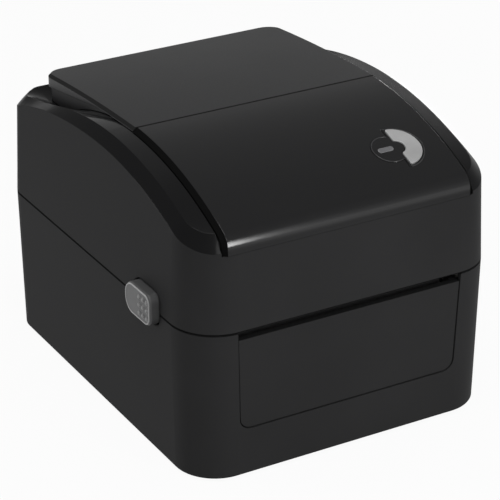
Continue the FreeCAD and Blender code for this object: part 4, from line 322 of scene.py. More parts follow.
# edges painted far lighter than the body: a painted highlight round the button's rim
buttonLook = {
    "dark": (0.054, 0.054, 0.055), "light": (0.067, 0.067, 0.068), "paintedEdgeColour": (0.26, 0.26, 0.26),
    "grainScale": 1600, "mottleScale": 40, "grain": 0.20, "edge": 0.6, "paintedEdgeStrength": 0.8,
    "roughness": (0.40, 0.48), "specular": 0.42,
}
# the dimples and the bead round each button's face painted much lighter than the button: a painted highlight
dimpleGlintLook = {**buttonLook, "dark": (0.15, 0.15, 0.15), "light": (0.18, 0.18, 0.18)}
rimLook = {**buttonLook, "dark": (0.27, 0.27, 0.27), "light": (0.32, 0.32, 0.32)}
trayLook = {
    "dark": (0.032, 0.032, 0.034), "light": (0.040, 0.040, 0.042), "paintedEdgeColour": (0.075, 0.075, 0.077),
    "grainScale": 1400, "mottleScale": 16, "grain": 0.30, "edge": 0.5, "paintedEdgeStrength": 0.5,
    "roughness": (0.48, 0.56), "specular": 0.35,
}
guideLook = {
    "dark": (0.15, 0.15, 0.158), "light": (0.19, 0.19, 0.198), "paintedEdgeColour": (0.30, 0.30, 0.31),
    "grainScale": 1400, "mottleScale": 22, "grain": 0.25, "edge": 0.5, "paintedEdgeStrength": 0.6,
    "roughness": (0.42, 0.50), "specular": 0.40,
}
gearLook = {
    "dark": (0.66, 0.65, 0.61), "light": (0.74, 0.73, 0.69), "paintedEdgeColour": (0.86, 0.85, 0.82),
    "grainScale": 1200, "mottleScale": 60, "grain": 0.12, "edge": 0.25, "paintedEdgeStrength": 0.5,
    "roughness": (0.32, 0.42), "specular": 0.45,
}
bushLook = {
    "dark": (0.018, 0.018, 0.018), "light": (0.026, 0.026, 0.026), "paintedEdgeColour": (0.07, 0.07, 0.07),
    "grainScale": 1200, "mottleScale": 80, "grain": 0.15, "edge": 0.25, "paintedEdgeStrength": 0.4,
    "roughness": (0.36, 0.46), "specular": 0.40,
}


# rubber: dull, with a faint bloom and a ground surface
rubberLook = {                      # edge and depth in mm
    "dark": (0.012, 0.012, 0.012), "bloom": (0.026, 0.026, 0.027), "roughness": (0.62, 0.78),
    "bloomScale": 120, "groundScale": 2600, "ground": 0.35, "depth": 0.06, "edge": 0.3, "specular": 0.3,
}


def rubberMaterial(name, look):
    material, tree, shader = newMaterial(name)
    vector = objectVector(tree)
    bloom = noiseOn(tree, vector, look["bloomScale"], detail=5.0, roughness=0.65)
    ground = noiseOn(tree, vector, look["groundScale"], detail=2.0, roughness=0.7)
    colour = tint(tree, spread(tree, bloom, 0.0, 1.0), look["dark"], look["bloom"])
    tree.links.new(colour, shader.inputs["Base Color"])
    tree.links.new(spread(tree, bloom, *look["roughness"]), shader.inputs["Roughness"])
    normal, _ = roundedEdge(tree, look["edge"] * mm)
    bump = bumpOn(tree, ground, look["ground"], look["depth"] * mm, normal)
    tree.links.new(bump, shader.inputs["Normal"])
    shader.inputs["Specular IOR Level"].default_value = look["specular"]
    return material


# metals: fine lay along one direction, slight tarnish
metalSizes = {"tarnishScale": 90, "edge": 0.18, "layDepth": 0.02}      # edge and depth in mm


def metalMaterial(name, look):
    material, tree, shader = newMaterial(name)
    vector = objectVector(tree)
    mapping = addNode(tree, "ShaderNodeMapping", {"Vector": vector})
    mapping.inputs["Scale"].default_value = look["lay"]
    streak = noiseOn(tree, mapping.outputs["Vector"], look["layScale"], detail=4.0, roughness=0.6)
    tarnish = noiseOn(tree, vector, metalSizes["tarnishScale"], detail=4.0)
    colour = tint(tree, spread(tree, tarnish, 0.0, 1.0), look["dark"], look["light"])
    tree.links.new(colour, shader.inputs["Base Color"])
    shader.inputs["Metallic"].default_value = look["metallic"]
    tree.links.new(spread(tree, streak, *look["roughness"]), shader.inputs["Roughness"])
    normal, _ = roundedEdge(tree, metalSizes["edge"] * mm)
    bump = bumpOn(tree, streak, look["depth"], metalSizes["layDepth"] * mm, normal)
    tree.links.new(bump, shader.inputs["Normal"])
    return material


silverLook = {
    "dark": (0.30, 0.30, 0.30), "light": (0.36, 0.36, 0.36), "metallic": 0.15,
    "lay": (1.0, 1.0, 1.0), "layScale": 2200, "roughness": (0.34, 0.50), "depth": 0.35,
}
steelLook = {
    "dark": (0.46, 0.46, 0.47), "light": (0.56, 0.56, 0.57), "metallic": 1.0,
    "lay": (40.0, 1.0, 1.0), "layScale": 60, "roughness": (0.22, 0.36), "depth": 0.15,
}
platedLook = {
    "dark": (0.50, 0.49, 0.46), "light": (0.60, 0.59, 0.56), "metallic": 1.0,
    "lay": (1.0, 30.0, 30.0), "layScale": 40, "roughness": (0.26, 0.40), "depth": 0.12,
}
sinkLook = {
    "dark": (0.60, 0.60, 0.61), "light": (0.70, 0.70, 0.71), "metallic": 1.0,
    "lay": (0.6, 40.0, 40.0), "layScale": 50, "roughness": (0.30, 0.46), "depth": 0.2,
}


# fired ceramic of the print head, with a fine speckle
ceramicLook = {                     # edge and depth in mm
    "dark": (0.60, 0.57, 0.50), "light": (0.70, 0.67, 0.60), "speckle": (0.40, 0.37, 0.31),
    "cloudScale": 160, "speckScale": 2400, "speckLevel": (0.62, 0.75), "roughness": (0.26, 0.40),
    "edge": 0.15, "bump": 0.1, "depth": 0.03,
}


def ceramicMaterial(name, look):
    material, tree, shader = newMaterial(name)
    vector = objectVector(tree)
    cloud = noiseOn(tree, vector, look["cloudScale"], detail=4.0)
    speck = noiseOn(tree, vector, look["speckScale"], detail=1.0)
    speck = spread(tree, speck, 0.0, 1.0, *look["speckLevel"])
    body = tint(tree, spread(tree, cloud, 0.0, 1.0), look["dark"], look["light"])
    tree.links.new(tint(tree, speck, body, look["speckle"]), shader.inputs["Base Color"])
    tree.links.new(spread(tree, cloud, *look["roughness"]), shader.inputs["Roughness"])
    normal, _ = roundedEdge(tree, look["edge"] * mm)
    bump = bumpOn(tree, cloud, look["bump"], look["depth"] * mm, normal)
    tree.links.new(bump, shader.inputs["Normal"])
    return material


# printed boards: lacquer over woven glass, with copper runs showing lighter
boardLook = {                       # edge and depth in mm
    "lacquer": (0.010, 0.060, 0.026), "copper": (0.022, 0.115, 0.050), "roughness": (0.28, 0.42),
    "runScale": 120, "runWidth": 0.035, "runBlur": 0.4, "weaveScale": 700, "weaveBend": 1.5, "weave": 0.3,
    "cloudScale": 70, "edge": 0.15, "bump": 0.25, "depth": 0.03,
}


def boardMaterial(name, look):
    material, tree, shader = newMaterial(name)
    vector = objectVector(tree)
    runs = addNode(tree, "ShaderNodeTexBrick", {"Vector": vector})
    runs.inputs["Scale"].default_value = look["runScale"]
    runs.inputs["Mortar Size"].default_value = look["runWidth"]
    runs.inputs["Mortar Smooth"].default_value = look["runBlur"]
    weave = addNode(tree, "ShaderNodeTexWave", {"Vector": vector}, {"wave_type": "BANDS"})
    weave.inputs["Scale"].default_value = look["weaveScale"]
    weave.inputs["Distortion"].default_value = look["weaveBend"]
    colour = tint(tree, runs.outputs["Fac"], look["lacquer"], look["copper"])
    tree.links.new(colour, shader.inputs["Base Color"])
    cloud = noiseOn(tree, vector, look["cloudScale"], detail=3.0)
    tree.links.new(spread(tree, cloud, *look["roughness"]), shader.inputs["Roughness"])
    woven = math2(tree, "MULTIPLY", weave.outputs["Fac"], look["weave"])
    raised = math2(tree, "ADD", woven, runs.outputs["Fac"])
    normal, _ = roundedEdge(tree, look["edge"] * mm)
    bump = bumpOn(tree, raised, look["bump"], look["depth"] * mm, normal)
    tree.links.new(bump, shader.inputs["Normal"])
    return material


# light pipe of the status lamp: smoky and slightly cloudy, with a painted highlight along its rim
lensLook = {                        # edge, depth and glow in mm
    "core": (0.115, 0.115, 0.120), "rim": (0.26, 0.26, 0.265), "cloudScale": 300, "rimLeast": 0.7,
    "roughness": (0.16, 0.26), "edge": 0.7, "bump": 0.08, "depth": 0.03, "scatter": 0.15, "glow": 1.0,
}


def lensMaterial(name, look):
    material, tree, shader = newMaterial(name)
    vector = objectVector(tree)
    normal, edge = roundedEdge(tree, look["edge"] * mm)
    cloud = noiseOn(tree, vector, look["cloudScale"], detail=3.0)
    # the rim painted lighter than the core: a painted highlight
    mark = math2(tree, "MULTIPLY", edge, spread(tree, cloud, look["rimLeast"], 1.0))
    tree.links.new(tint(tree, mark, look["core"], look["rim"]), shader.inputs["Base Color"])
    tree.links.new(spread(tree, cloud, *look["roughness"]), shader.inputs["Roughness"])
    bump = bumpOn(tree, cloud, look["bump"], look["depth"] * mm, normal)
    tree.links.new(bump, shader.inputs["Normal"])
    shader.inputs["Subsurface Weight"].default_value = look["scatter"]
    shader.inputs["Subsurface Radius"].default_value = [look["glow"] * mm] * 3
    return material


finishes = {
    "casing_black": mouldedPlastic("casingBlack", casingLook, shading=caseShade),
    "gloss_black": mouldedPlastic("glossBlack", casingLook, panelPolish, panelShade),
    "satin_black": mouldedPlastic("satinBlack", satinLook, shading=plateShade),
    "button_grey": mouldedPlastic("buttonGrey", buttonLook),
    "key_silver": metalMaterial("keySilver", silverLook),
    "light_lens": lensMaterial("lightLens", lensLook),
    "tray_grey": mouldedPlastic("trayGrey", trayLook),
    "guide_grey": mouldedPlastic("guideGrey", guideLook),
    "black_rubber": rubberMaterial("blackRubber", rubberLook),
    "gear_white": mouldedPlastic("gearWhite", gearLook),
    "bare_steel": metalMaterial("bareSteel", steelLook),
    "plated_steel": metalMaterial("platedSteel", platedLook),
    "sink_aluminium": metalMaterial("sinkAluminium", sinkLook),
    "head_ceramic": ceramicMaterial("headCeramic", ceramicLook),
    "board_green": boardMaterial("boardGreen", boardLook),
    "bush_black": mouldedPlastic("bushBlack", bushLook),
}
formFinish = {                      # of the small forms made below
    # the button's bead and dimples carry a painted highlight, and the key's lip a painted highlight line
    "rim": mouldedPlastic("rimGrey", rimLook),
    "dimple": mouldedPlastic("dimplePaintedGlint", dimpleGlintLook),
    "lip": mouldedPlastic("lipBlackPaintedGlint", casingLook, lipGlintPolish),
}
ownFinish = {                       # of solids that differ from their slot's plain finish
    "cover_shell": mouldedPlastic("coverBlack", casingLook, shoulderPolish, caseShade),
    "front_panel": mouldedPlastic("frontBlack", casingLook, shading=slotShade),
}
print("finishes:", len(finishes) + len(formFinish) + len(ownFinish))


# each solid takes its own finish, or that of its slot
nodeFinish = {
    "casing_black": ["base_casing", "front_panel", "cover_shell"],
    "gloss_black": ["top_panel", "key_bezel"],
    "satin_black": ["rear_plate"],
    "button_grey": ["left_release_button", "right_release_button", "left_latch", "right_latch"],
    "key_silver": ["feed_key"],
    "light_lens": ["status_light"],
    "tray_grey": ["media_tray", "cover_frame", "rack_carrier", "hinge_brackets"],
    "guide_grey": ["left_guide", "right_guide", "left_core_hub", "right_core_hub", "left_rack", "right_rack"],
    "black_rubber": ["platen_rubber", "rubber_feet"],
    "gear_white": ["platen_gear", "idler_gear", "motor_pinion", "guide_pinion"],
    "bare_steel": ["platen_shaft", "motor_shaft", "hinge_pins", "head_pins", "idler_stud", "tear_bar",
                   "left_button_spring", "right_button_spring", "head_springs"],
    "plated_steel": ["gear_plate", "stepper_motor", "head_bracket", "usb_socket", "case_screws",
                     "cover_screws", "latch_catches"],
    "sink_aluminium": ["head_heatsink"],
    "head_ceramic": ["print_head"],
    "board_green": ["main_board", "key_board"],
    "bush_black": ["platen_bearings", "dc_socket", "gap_sensor", "switch_housing", "switch_rocker"],
}


def dressNodes(layout):
    dressed = set()
    for slot, names in layout.items():
        for name in names:
            mesh = nodes[name].data
            mesh.materials.clear()
            mesh.materials.append(ownFinish.get(name, finishes[slot]))
            dressed.add(name)
    left = sorted(set(nodes) - dressed)
    print("solids dressed:", len(dressed), "left:", left)


dressNodes(nodeFinish)


# geometry-node helpers: a tree grows one form on every spot of a piece
def newGrowth(name, inputs):
    tree = bpy.data.node_groups.new(name, "GeometryNodeTree")
    tree.is_modifier = True
    tree.interface.new_socket("Spots", in_out="INPUT", socket_type="NodeSocketGeometry")
    for label in inputs:
        tree.interface.new_socket(label, in_out="INPUT", socket_type="NodeSocketFloat")
    tree.interface.new_socket("Lean", in_out="INPUT", socket_type="NodeSocketVector")
    tree.interface.new_socket("Result", in_out="OUTPUT", socket_type="NodeSocketGeometry")
    return tree, tree.nodes.new("NodeGroupInput").outputs


def onSpots(tree, given, form):
    turn = addNode(tree, "FunctionNodeEulerToRotation", {"Euler": given["Lean"]})
    node = addNode(tree, "GeometryNodeInstanceOnPoints", {
        "Points": given["Spots"], "Instance": form, "Rotation": turn.outputs["Rotation"],
    })
    return node


def finishGrowth(tree, instances, finish):
    real = addNode(tree, "GeometryNodeRealizeInstances", {"Geometry": instances})
    dressed = addNode(tree, "GeometryNodeSetMaterial", {"Geometry": real.outputs["Geometry"]},
                      Material=finish)
    result = tree.nodes.new("NodeGroupOutput")
    tree.links.new(dressed.outputs["Geometry"], result.inputs["Result"])


def chain(count, first=0, closed=False):        # edges that join spots in a row
    last = count if closed else count - 1
    return [(first + i, first + (i + 1) % count) for i in range(last)]


def growPiece(name, tree, spots, values, reach=None, edges=()):
    seed = bpy.data.meshes.new(name + "Spots")
    seed.from_pydata([[c * mm for c in spot] for spot in spots], edges, [])
    if reach:
        mark = seed.attributes.new("reach", "FLOAT", "POINT")
        for spot, length in zip(mark.data, reach):
            spot.value = length * mm
    piece = bpy.data.objects.new(name, seed)
    scene.collection.objects.link(piece)
    grower = piece.modifiers.new("grow", "NODES")
    grower.node_group = tree
    for socket in tree.interface.items_tree:
        if socket.in_out == "INPUT" and socket.name in values:
            grower[socket.identifier] = values[socket.name]
    graph = bpy.context.evaluated_depsgraph_get()
    mesh = bpy.data.meshes.new_from_object(piece.evaluated_get(graph), depsgraph=graph)
    mesh.name = name
    piece.modifiers.clear()
    piece.data = mesh
    return piece


def turned(name, profile, steps):        # a closed form turned about Z, from (radius, height) in mm
    mesh = bpy.data.meshes.new(name)
    form = bmesh.new()
    rings = []
    for radius, height in profile:
        angles = [2 * math.pi * i / steps for i in range(steps)] if radius > 0 else [0.0]
        rings.append([form.verts.new((radius * mm * math.cos(a), radius * mm * math.sin(a), height * mm))
                      for a in angles])
    for lower, upper in zip(rings, rings[1:]):
        for i in range(steps):
            j = (i + 1) % steps
            corners = [lower[i % len(lower)], lower[j % len(lower)],
                       upper[j % len(upper)], upper[i % len(upper)]]
            form.faces.new(list(dict.fromkeys(corners)))
    bmesh.ops.recalc_face_normals(form, faces=form.faces)
    form.to_mesh(mesh)
    form.free()
    return bpy.data.objects.new(name, mesh)


# compression springs: round wire, an even pitch between two closed end coils
springSizes = {                     # mm; wire is a radius, and a closed coil rises by so many of it
    "radius": 3.0, "wire": 0.45, "closedRise": 2.15, "ringSteps": 28, "wireSteps": 12,
}
buttonSprings = {                   # mm; start is the post that the spring leans on
    "start": {"left": -67.1, "right": 67.1}, "y": -56.5, "z": 85.0,
    "lean": {"left": -90.0, "right": 90.0},
    "length": 9.6, "turns": 3.4, "travel": 3.0,
}
headSprings = {                     # mm; the top leans on the cover's beam
    "x": (-40.0, 0.0, 40.0), "y": -87.0, "top": 106.4, "length": 13.1, "turns": 5.0, "travel": 1.2,
}


def springTree(finish):
    tree, given = newGrowth("springCoil", ["Radius", "Wire", "Length", "Turns"])
    allTurns = math2(tree, "ADD", given["Turns"], 2.0)
    coil = addNode(tree, "GeometryNodeCurveSpiral", {
        "Rotations": allTurns, "Start Radius": given["Radius"], "End Radius": given["Radius"],
    }, Resolution=springSizes["ringSteps"], Height=0.0)
    along = tree.nodes.new("GeometryNodeSplineParameter").outputs["Factor"]
    endShare = math2(tree, "DIVIDE", 1.0, allTurns)
    lastStart = math2(tree, "SUBTRACT", 1.0, endShare)
    closed = math2(tree, "MULTIPLY", given["Wire"], springSizes["closedRise"])

    def climb(first, last, rise):                                # rises between two shares of the wire
        passed = math2(tree, "SUBTRACT", along, first)
        done = math2(tree, "DIVIDE", passed, math2(tree, "SUBTRACT", last, first))
        done.node.use_clamp = True
        return math2(tree, "MULTIPLY", done, rise)

    ends = math2(tree, "ADD", climb(0.0, endShare, closed), climb(lastStart, 1.0, closed))
    thick = math2(tree, "MULTIPLY", given["Wire"], 2.0)
    taken = math2(tree, "ADD", thick, math2(tree, "MULTIPLY", closed, 2.0))
    middle = climb(endShare, lastStart, math2(tree, "SUBTRACT", given["Length"], taken))
    height = math2(tree, "ADD", math2(tree, "ADD", middle, ends), given["Wire"])
    lift = addNode(tree, "ShaderNodeCombineXYZ", {"Z": height})
    line = addNode(tree, "GeometryNodeSetPosition", {
        "Geometry": coil.outputs["Curve"], "Offset": lift.outputs["Vector"],
    })
    ring = addNode(tree, "GeometryNodeCurvePrimitiveCircle", {"Radius": given["Wire"]},
                   Resolution=springSizes["wireSteps"])
    tube = addNode(tree, "GeometryNodeCurveToMesh", {
        "Curve": line.outputs["Geometry"], "Profile Curve": ring.outputs["Curve"],
    }, **{"Fill Caps": True})
    smooth = addNode(tree, "GeometryNodeSetShadeSmooth", {"Geometry": tube.outputs["Mesh"]})
    coils = onSpots(tree, given, smooth.outputs["Geometry"])
    finishGrowth(tree, coils.outputs["Instances"], finish)
    return tree


def addSprings():
    tree = springTree(finishes["bare_steel"])
    sizes = {"Radius": springSizes["radius"] * mm, "Wire": springSizes["wire"] * mm}
    setup = buttonSprings
    for side in ("left", "right"):
        spot = (setup["start"][side], setup["y"], setup["z"])
        piece = growPiece(side + "ButtonCoil", tree, [spot], {
            **sizes, "Length": setup["length"] * mm, "Turns": setup["turns"],
            "Lean": (0.0, math.radians(setup["lean"][side]), 0.0),
        })
        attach(piece, "base")
        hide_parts(side + "_button_spring")
        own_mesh(piece)
    setup = headSprings
    foot = setup["top"] - setup["length"]
    piece = growPiece("headCoils", tree, [(x, setup["y"], foot) for x in setup["x"]], {
        **sizes, "Length": setup["length"] * mm, "Turns": setup["turns"],
    })
    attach(piece, "cover")
    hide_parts("head_springs")
    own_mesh(piece)


addSprings()
print("springs wound")


# cross-recessed pan-head screws, heads downwards
screwSizes = {                      # mm; head as (radius, height)
    "head": [(0, 0), (1.7, 0), (2.3, 0.12), (2.7, 0.42), (2.85, 0.8), (2.85, 1.6), (0, 1.6)],
    "headHeight": 1.6, "shank": 1.45, "driveLength": 2.9, "driveWidth": 0.62, "driveDepth": 1.0,
    "headSteps": 40, "shankSteps": 24,
}
screwSets = {                       # spots at the heads' faces, reach of each shank beyond its head
    "caseScrewSet": {
        "node": "case_screws", "body": "base",
        "spots": [(-72, -40, 1.7), (72, -40, 1.7), (-72, 64, 1.7), (72, 64, 1.7)],
        "reach": [12.7, 12.7, 12.7, 12.7],
    },
    "coverScrewSet": {
        "node": "cover_screws", "body": "cover",
        "spots": [(-65, -84, 105.3), (65, -84, 105.3), (-66, 40, 106.5), (66, 40, 106.5)],
        "reach": [10.6, 10.6, 16.1, 16.1],
    },
}


def screwTree(blank, finish):
    labels = ["Drive Length", "Drive Width", "Drive Depth", "Shank", "Head Height"]
    tree, given = newGrowth("crossScrew", labels)
    depth = math2(tree, "MULTIPLY", given["Drive Depth"], 2.0)
    body = addNode(tree, "GeometryNodeObjectInfo", Object=blank)
    driven = addNode(tree, "GeometryNodeMeshBoolean", settings={"operation": "DIFFERENCE"})
    tree.links.new(body.outputs["Geometry"], driven.inputs[0])
    for along, across in (("Drive Length", "Drive Width"), ("Drive Width", "Drive Length")):
        size = addNode(tree, "ShaderNodeCombineXYZ", {"X": given[along], "Y": given[across], "Z": depth})
        bar = addNode(tree, "GeometryNodeMeshCube", {"Size": size.outputs["Vector"]})
        tree.links.new(bar.outputs["Mesh"], driven.inputs[1])
    heads = onSpots(tree, given, driven.outputs["Mesh"])
    rod = addNode(tree, "GeometryNodeMeshCylinder", {"Radius": given["Shank"]},     # one metre, then scaled
                  Vertices=screwSizes["shankSteps"], Depth=1.0)
    raised = addNode(tree, "GeometryNodeTransform", {"Geometry": rod.outputs["Mesh"]},
                     Translation=(0, 0, 0.5))
    reach = addNode(tree, "GeometryNodeInputNamedAttribute", settings={"data_type": "FLOAT"}, Name="reach")
    grown = addNode(tree, "ShaderNodeCombineXYZ", {"Z": reach.outputs[0]}, X=1.0, Y=1.0)
    shanks = onSpots(tree, given, raised.outputs["Geometry"])
    tree.links.new(grown.outputs["Vector"], shanks.inputs["Scale"])
    above = addNode(tree, "ShaderNodeCombineXYZ", {"Z": given["Head Height"]})
    seated = addNode(tree, "GeometryNodeTranslateInstances", {
        "Instances": shanks.outputs["Instances"], "Translation": above.outputs["Vector"],
    }, **{"Local Space": False})
    joined = tree.nodes.new("GeometryNodeJoinGeometry")
    tree.links.new(heads.outputs["Instances"], joined.inputs[0])
    tree.links.new(seated.outputs["Instances"], joined.inputs[0])
    finishGrowth(tree, joined.outputs["Geometry"], finish)
    return tree


def addScrews(sizes):
    blank = turned("screwBlank", sizes["head"], sizes["headSteps"])
    tree = screwTree(blank, finishes["plated_steel"])
    values = {
        "Drive Length": sizes["driveLength"] * mm, "Drive Width": sizes["driveWidth"] * mm,
        "Drive Depth": sizes["driveDepth"] * mm, "Shank": sizes["shank"] * mm,
        "Head Height": sizes["headHeight"] * mm,
    }
    for name, layout in screwSets.items():
        piece = growPiece(name, tree, layout["spots"], values, layout["reach"])
        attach(piece, layout["body"])
        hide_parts(layout["node"])
    bpy.data.objects.remove(blank)


addScrews(screwSizes)
print("screws driven")


# raised bead round each release button's face
buttonRim = {                       # mm; bead is a radius
    "face": 93.75, "y": -56.5, "z": 85.0, "bead": 0.42, "ringSteps": 12,
    "length": 24.5, "height": 15.5, "frontCorner": 4.0, "rearCorner": 7.0, "arcSteps": 10,
}


def rimLoop(sizes):                      # (y, z) points once round the face, corners as quarter circles
    halfLength, halfHeight = sizes["length"] / 2, sizes["height"] / 2
    corners = [(1, 1, "rearCorner"), (-1, 1, "frontCorner"), (-1, -1, "frontCorner"), (1, -1, "rearCorner")]
    loop = []
    for quarter, (alongY, alongZ, kind) in enumerate(corners):
        radius = sizes[kind]
        centre = (alongY * (halfLength - radius), alongZ * (halfHeight - radius))
        for step in range(sizes["arcSteps"] + 1):
            angle = math.pi / 2 * (quarter + step / sizes["arcSteps"])
            loop.append((sizes["y"] + centre[0] + radius * math.cos(angle),
                         sizes["z"] + centre[1] + radius * math.sin(angle)))
    return loop


def beadTree(name, steps, finish):
    tree, given = newGrowth(name, ["Bead"])
    path = addNode(tree, "GeometryNodeMeshToCurve", {"Mesh": given["Spots"]})
    ring = addNode(tree, "GeometryNodeCurvePrimitiveCircle", {"Radius": given["Bead"]}, Resolution=steps)
    tube = addNode(tree, "GeometryNodeCurveToMesh", {
        "Curve": path.outputs["Curve"], "Profile Curve": ring.outputs["Curve"],
    }, **{"Fill Caps": True})
    smooth = addNode(tree, "GeometryNodeSetShadeSmooth", {"Geometry": tube.outputs["Mesh"]})
    finishGrowth(tree, smooth.outputs["Geometry"], finish)
    return tree


def addRims(sizes):
    tree = beadTree("rimBead", sizes["ringSteps"], formFinish["rim"])
    for side, way in (("left", -1), ("right", 1)):
        spots = [(way * sizes["face"], y, z) for y, z in rimLoop(sizes)]
        piece = growPiece(side + "ButtonRim", tree, spots, {"Bead": sizes["bead"] * mm},
                          edges=chain(len(spots), closed=True))
        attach(piece, side + "_release")


addRims(buttonRim)
print("button rims set")


# thin lip of the feed key's bezel, round the half ring and round the light
keyLip = {                          # mm and degrees, from the key's centre; bead is a radius
    "x": 43.5, "y": -76.3, "tilt": 19.5, "above": 200.0, "bead": 0.32, "sink": 0.16,
    "arcs": [
        {"x": 0.0, "radius": 14.35, "start": -88, "end": 88},
        {"x": -4.3, "radius": 9.2, "start": 70, "end": 290},
    ],
    "arcSteps": 40, "ringSteps": 12,
}


def addKeyLip(sizes):
    slope = math.cos(math.radians(sizes["tilt"]))
    spots, edges = [], []
    for arc in sizes["arcs"]:
        first = len(spots)
        for step in range(sizes["arcSteps"] + 1):
            share = step / sizes["arcSteps"]
            angle = math.radians(arc["start"] + (arc["end"] - arc["start"]) * share)
            x = sizes["x"] + arc["x"] + arc["radius"] * math.cos(angle)
            y = sizes["y"] + arc["radius"] * math.sin(angle) * slope
            above = Vector((x, y, sizes["above"])) * mm
            found, place, _, _ = nodes["key_bezel"].ray_cast(above, (0, 0, -1))
            if found:
                spots.append((x, y, place.z / mm - sizes["sink"]))
        edges += chain(len(spots) - first, first)
    tree = beadTree("lipBead", sizes["ringSteps"], formFinish["lip"])
    piece = growPiece("keyLip", tree, spots, {"Bead": sizes["bead"] * mm}, edges=edges)
    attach(piece, "cover")
    print("key lip laid on", len(spots), "spots")


addKeyLip(keyLip)


# domed dimples on the release buttons
dimpleSizes = {                     # mm; dome as (radius, height)
    "dome": [(0, 0.74), (0.35, 0.72), (0.68, 0.64), (0.95, 0.48), (1.12, 0.27), (1.24, 0.10), (1.42, 0.0),
             (1.42, -0.2), (0, -0.2)],
    "domeSteps": 28, "face": 94.0, "y": (-67.0, -63.0, -59.0), "z": (80.6, 85.0, 89.4),
}


def addDimples(sizes):
    blank = turned("dimpleBlank", sizes["dome"], sizes["domeSteps"])
    tree, given = newGrowth("gripDimples", [])
    form = addNode(tree, "GeometryNodeObjectInfo", Object=blank)
    smooth = addNode(tree, "GeometryNodeSetShadeSmooth", {"Geometry": form.outputs["Geometry"]})
    domes = onSpots(tree, given, smooth.outputs["Geometry"])
    finishGrowth(tree, domes.outputs["Instances"], formFinish["dimple"])
    for side, way in (("left", -1), ("right", 1)):
        spots = [(way * sizes["face"], y, z) for y in sizes["y"] for z in sizes["z"]]
        piece = growPiece(side + "GripDimples", tree, spots, {"Lean": (0.0, way * math.pi / 2, 0.0)})
        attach(piece, side + "_release")
    bpy.data.objects.remove(blank)


addDimples(dimpleSizes)
print("grip dimples set")


# floor, light and surroundings
studio = {
    "floorSize": 6.0,
    "floorColour": (0.48, 0.48, 0.48),
    "floorRoughness": 0.9,
    "floorSpecular": 0.1,
    "floorWhite": 0.95,             # share of plain white that the camera sees
    "ambient": 0.42,
    "sky": [(0.0, 1.0), (0.06, 0.8), (0.16, 0.45), (0.30, 0.40), (0.44, 0.30), (0.60, 0.24), (0.78, 0.20),
            (0.90, 0.14), (1.0, 0.09)],         # height, level
    "lamps": {                      # place and target in metres, size in metres, power in watts
        "overhead": {
            "place": (-0.12, -0.20, 1.10), "target": (0, 0, 0.10), "size": (0.45, 0.45), "power": 4.1,
        },
        "sideFill": {
            "place": (-0.95, 0.56, 0.24), "target": (-0.05, 0.06, 0.08), "size": (0.40, 0.40), "power": 4.2,
        },
        "frontFill": {
            "place": (-0.22, -0.95, 0.92), "target": (0, 0, 0.08), "size": (0.36, 0.36), "power": 3.2,
        },
        "softBox": {
            "place": (0.345, -1.05, 0.30), "target": (0, 0, 0.10), "size": (0.12, 0.60), "power": 5.0,
        },
        "rearFill": {
            "place": (1.00, 0.72, 0.25), "target": (0.05, 0.05, 0.08), "size": (0.45, 0.30), "power": 3.6,
        },
    },
}


def rayShare(tree):
    path = tree.nodes.new("ShaderNodeLightPath")
    both = math2(tree, "MAXIMUM", path.outputs["Is Camera Ray"], path.outputs["Is Glossy Ray"])
    return math2(tree, "MAXIMUM", both, path.outputs["Is Transmission Ray"])


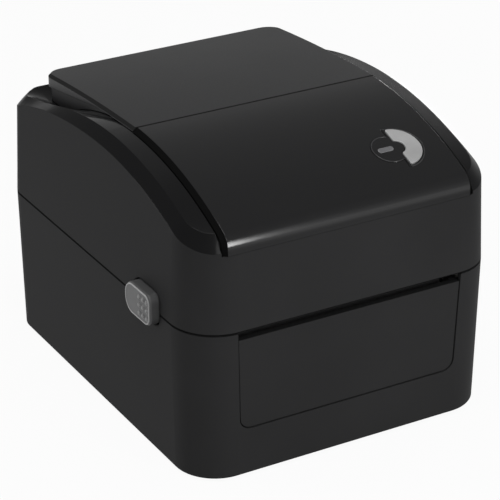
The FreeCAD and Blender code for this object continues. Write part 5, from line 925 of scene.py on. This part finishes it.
def addFloor(setup):
    half = setup["floorSize"] / 2
    mesh = bpy.data.meshes.new("studioFloor")
    corners = [(-half, -half, 0), (half, -half, 0), (half, half, 0), (-half, half, 0)]
    mesh.from_pydata(corners, [], [(0, 1, 2, 3)])
    floor = bpy.data.objects.new("studioFloor", mesh)
    scene.collection.objects.link(floor)
    material, tree, shader = newMaterial("studioFloor")
    shader.inputs["Base Color"].default_value = (*setup["floorColour"], 1)
    shader.inputs["Roughness"].default_value = setup["floorRoughness"]
    shader.inputs["Specular IOR Level"].default_value = setup["floorSpecular"]
    white = tree.nodes.new("ShaderNodeEmission")
    white.inputs["Strength"].default_value = 1.0
    share = math2(tree, "MULTIPLY", rayShare(tree), setup["floorWhite"])
    mix = tree.nodes.new("ShaderNodeMixShader")
    tree.links.new(share, mix.inputs[0])
    tree.links.new(shader.outputs["BSDF"], mix.inputs[1])
    tree.links.new(white.outputs["Emission"], mix.inputs[2])
    output = next(n for n in tree.nodes if n.type == "OUTPUT_MATERIAL")
    tree.links.new(mix.outputs["Shader"], output.inputs["Surface"])
    mesh.materials.append(material)


def addWorld(setup):
    world = bpy.data.worlds.new("studioWorld")
    scene.world = world
    world.use_nodes = True
    tree = world.node_tree
    tree.nodes.clear()
    output = tree.nodes.new("ShaderNodeOutputWorld")
    soft = addNode(tree, "ShaderNodeBackground", Strength=setup["ambient"])
    soft.inputs["Color"].default_value = (1, 1, 1, 1)
    seen = tree.nodes.new("ShaderNodeBackground")
    around = tree.nodes.new("ShaderNodeTexCoord").outputs["Generated"]
    way = addNode(tree, "ShaderNodeSeparateXYZ", {"Vector": around})
    ramp = addNode(tree, "ShaderNodeValToRGB", {"Fac": way.outputs["Z"]})
    stops = ramp.color_ramp.elements
    for height, level in setup["sky"]:
        stop = stops[0] if height == 0.0 else stops[-1] if height == 1.0 else stops.new(height)
        stop.color = (level, level, level, 1)
    tree.links.new(ramp.outputs["Color"], seen.inputs["Color"])
    mix = tree.nodes.new("ShaderNodeMixShader")
    tree.links.new(rayShare(tree), mix.inputs[0])
    tree.links.new(soft.outputs["Background"], mix.inputs[1])
    tree.links.new(seen.outputs["Background"], mix.inputs[2])
    tree.links.new(mix.outputs["Shader"], output.inputs["Surface"])


def addLamps(setup):
    for name, lamp in setup["lamps"].items():
        data = bpy.data.lights.new(name, "AREA")
        data.shape = "RECTANGLE"
        data.size, data.size_y = lamp["size"]
        data.energy = lamp["power"]
        item = bpy.data.objects.new(name, data)
        scene.collection.objects.link(item)
        item.matrix_world = aimMatrix(Vector(lamp["place"]), Vector(lamp["target"]))


addFloor(studio)
addWorld(studio)
addLamps(studio)
print("studio lit by", len(studio["lamps"]), "lamps")
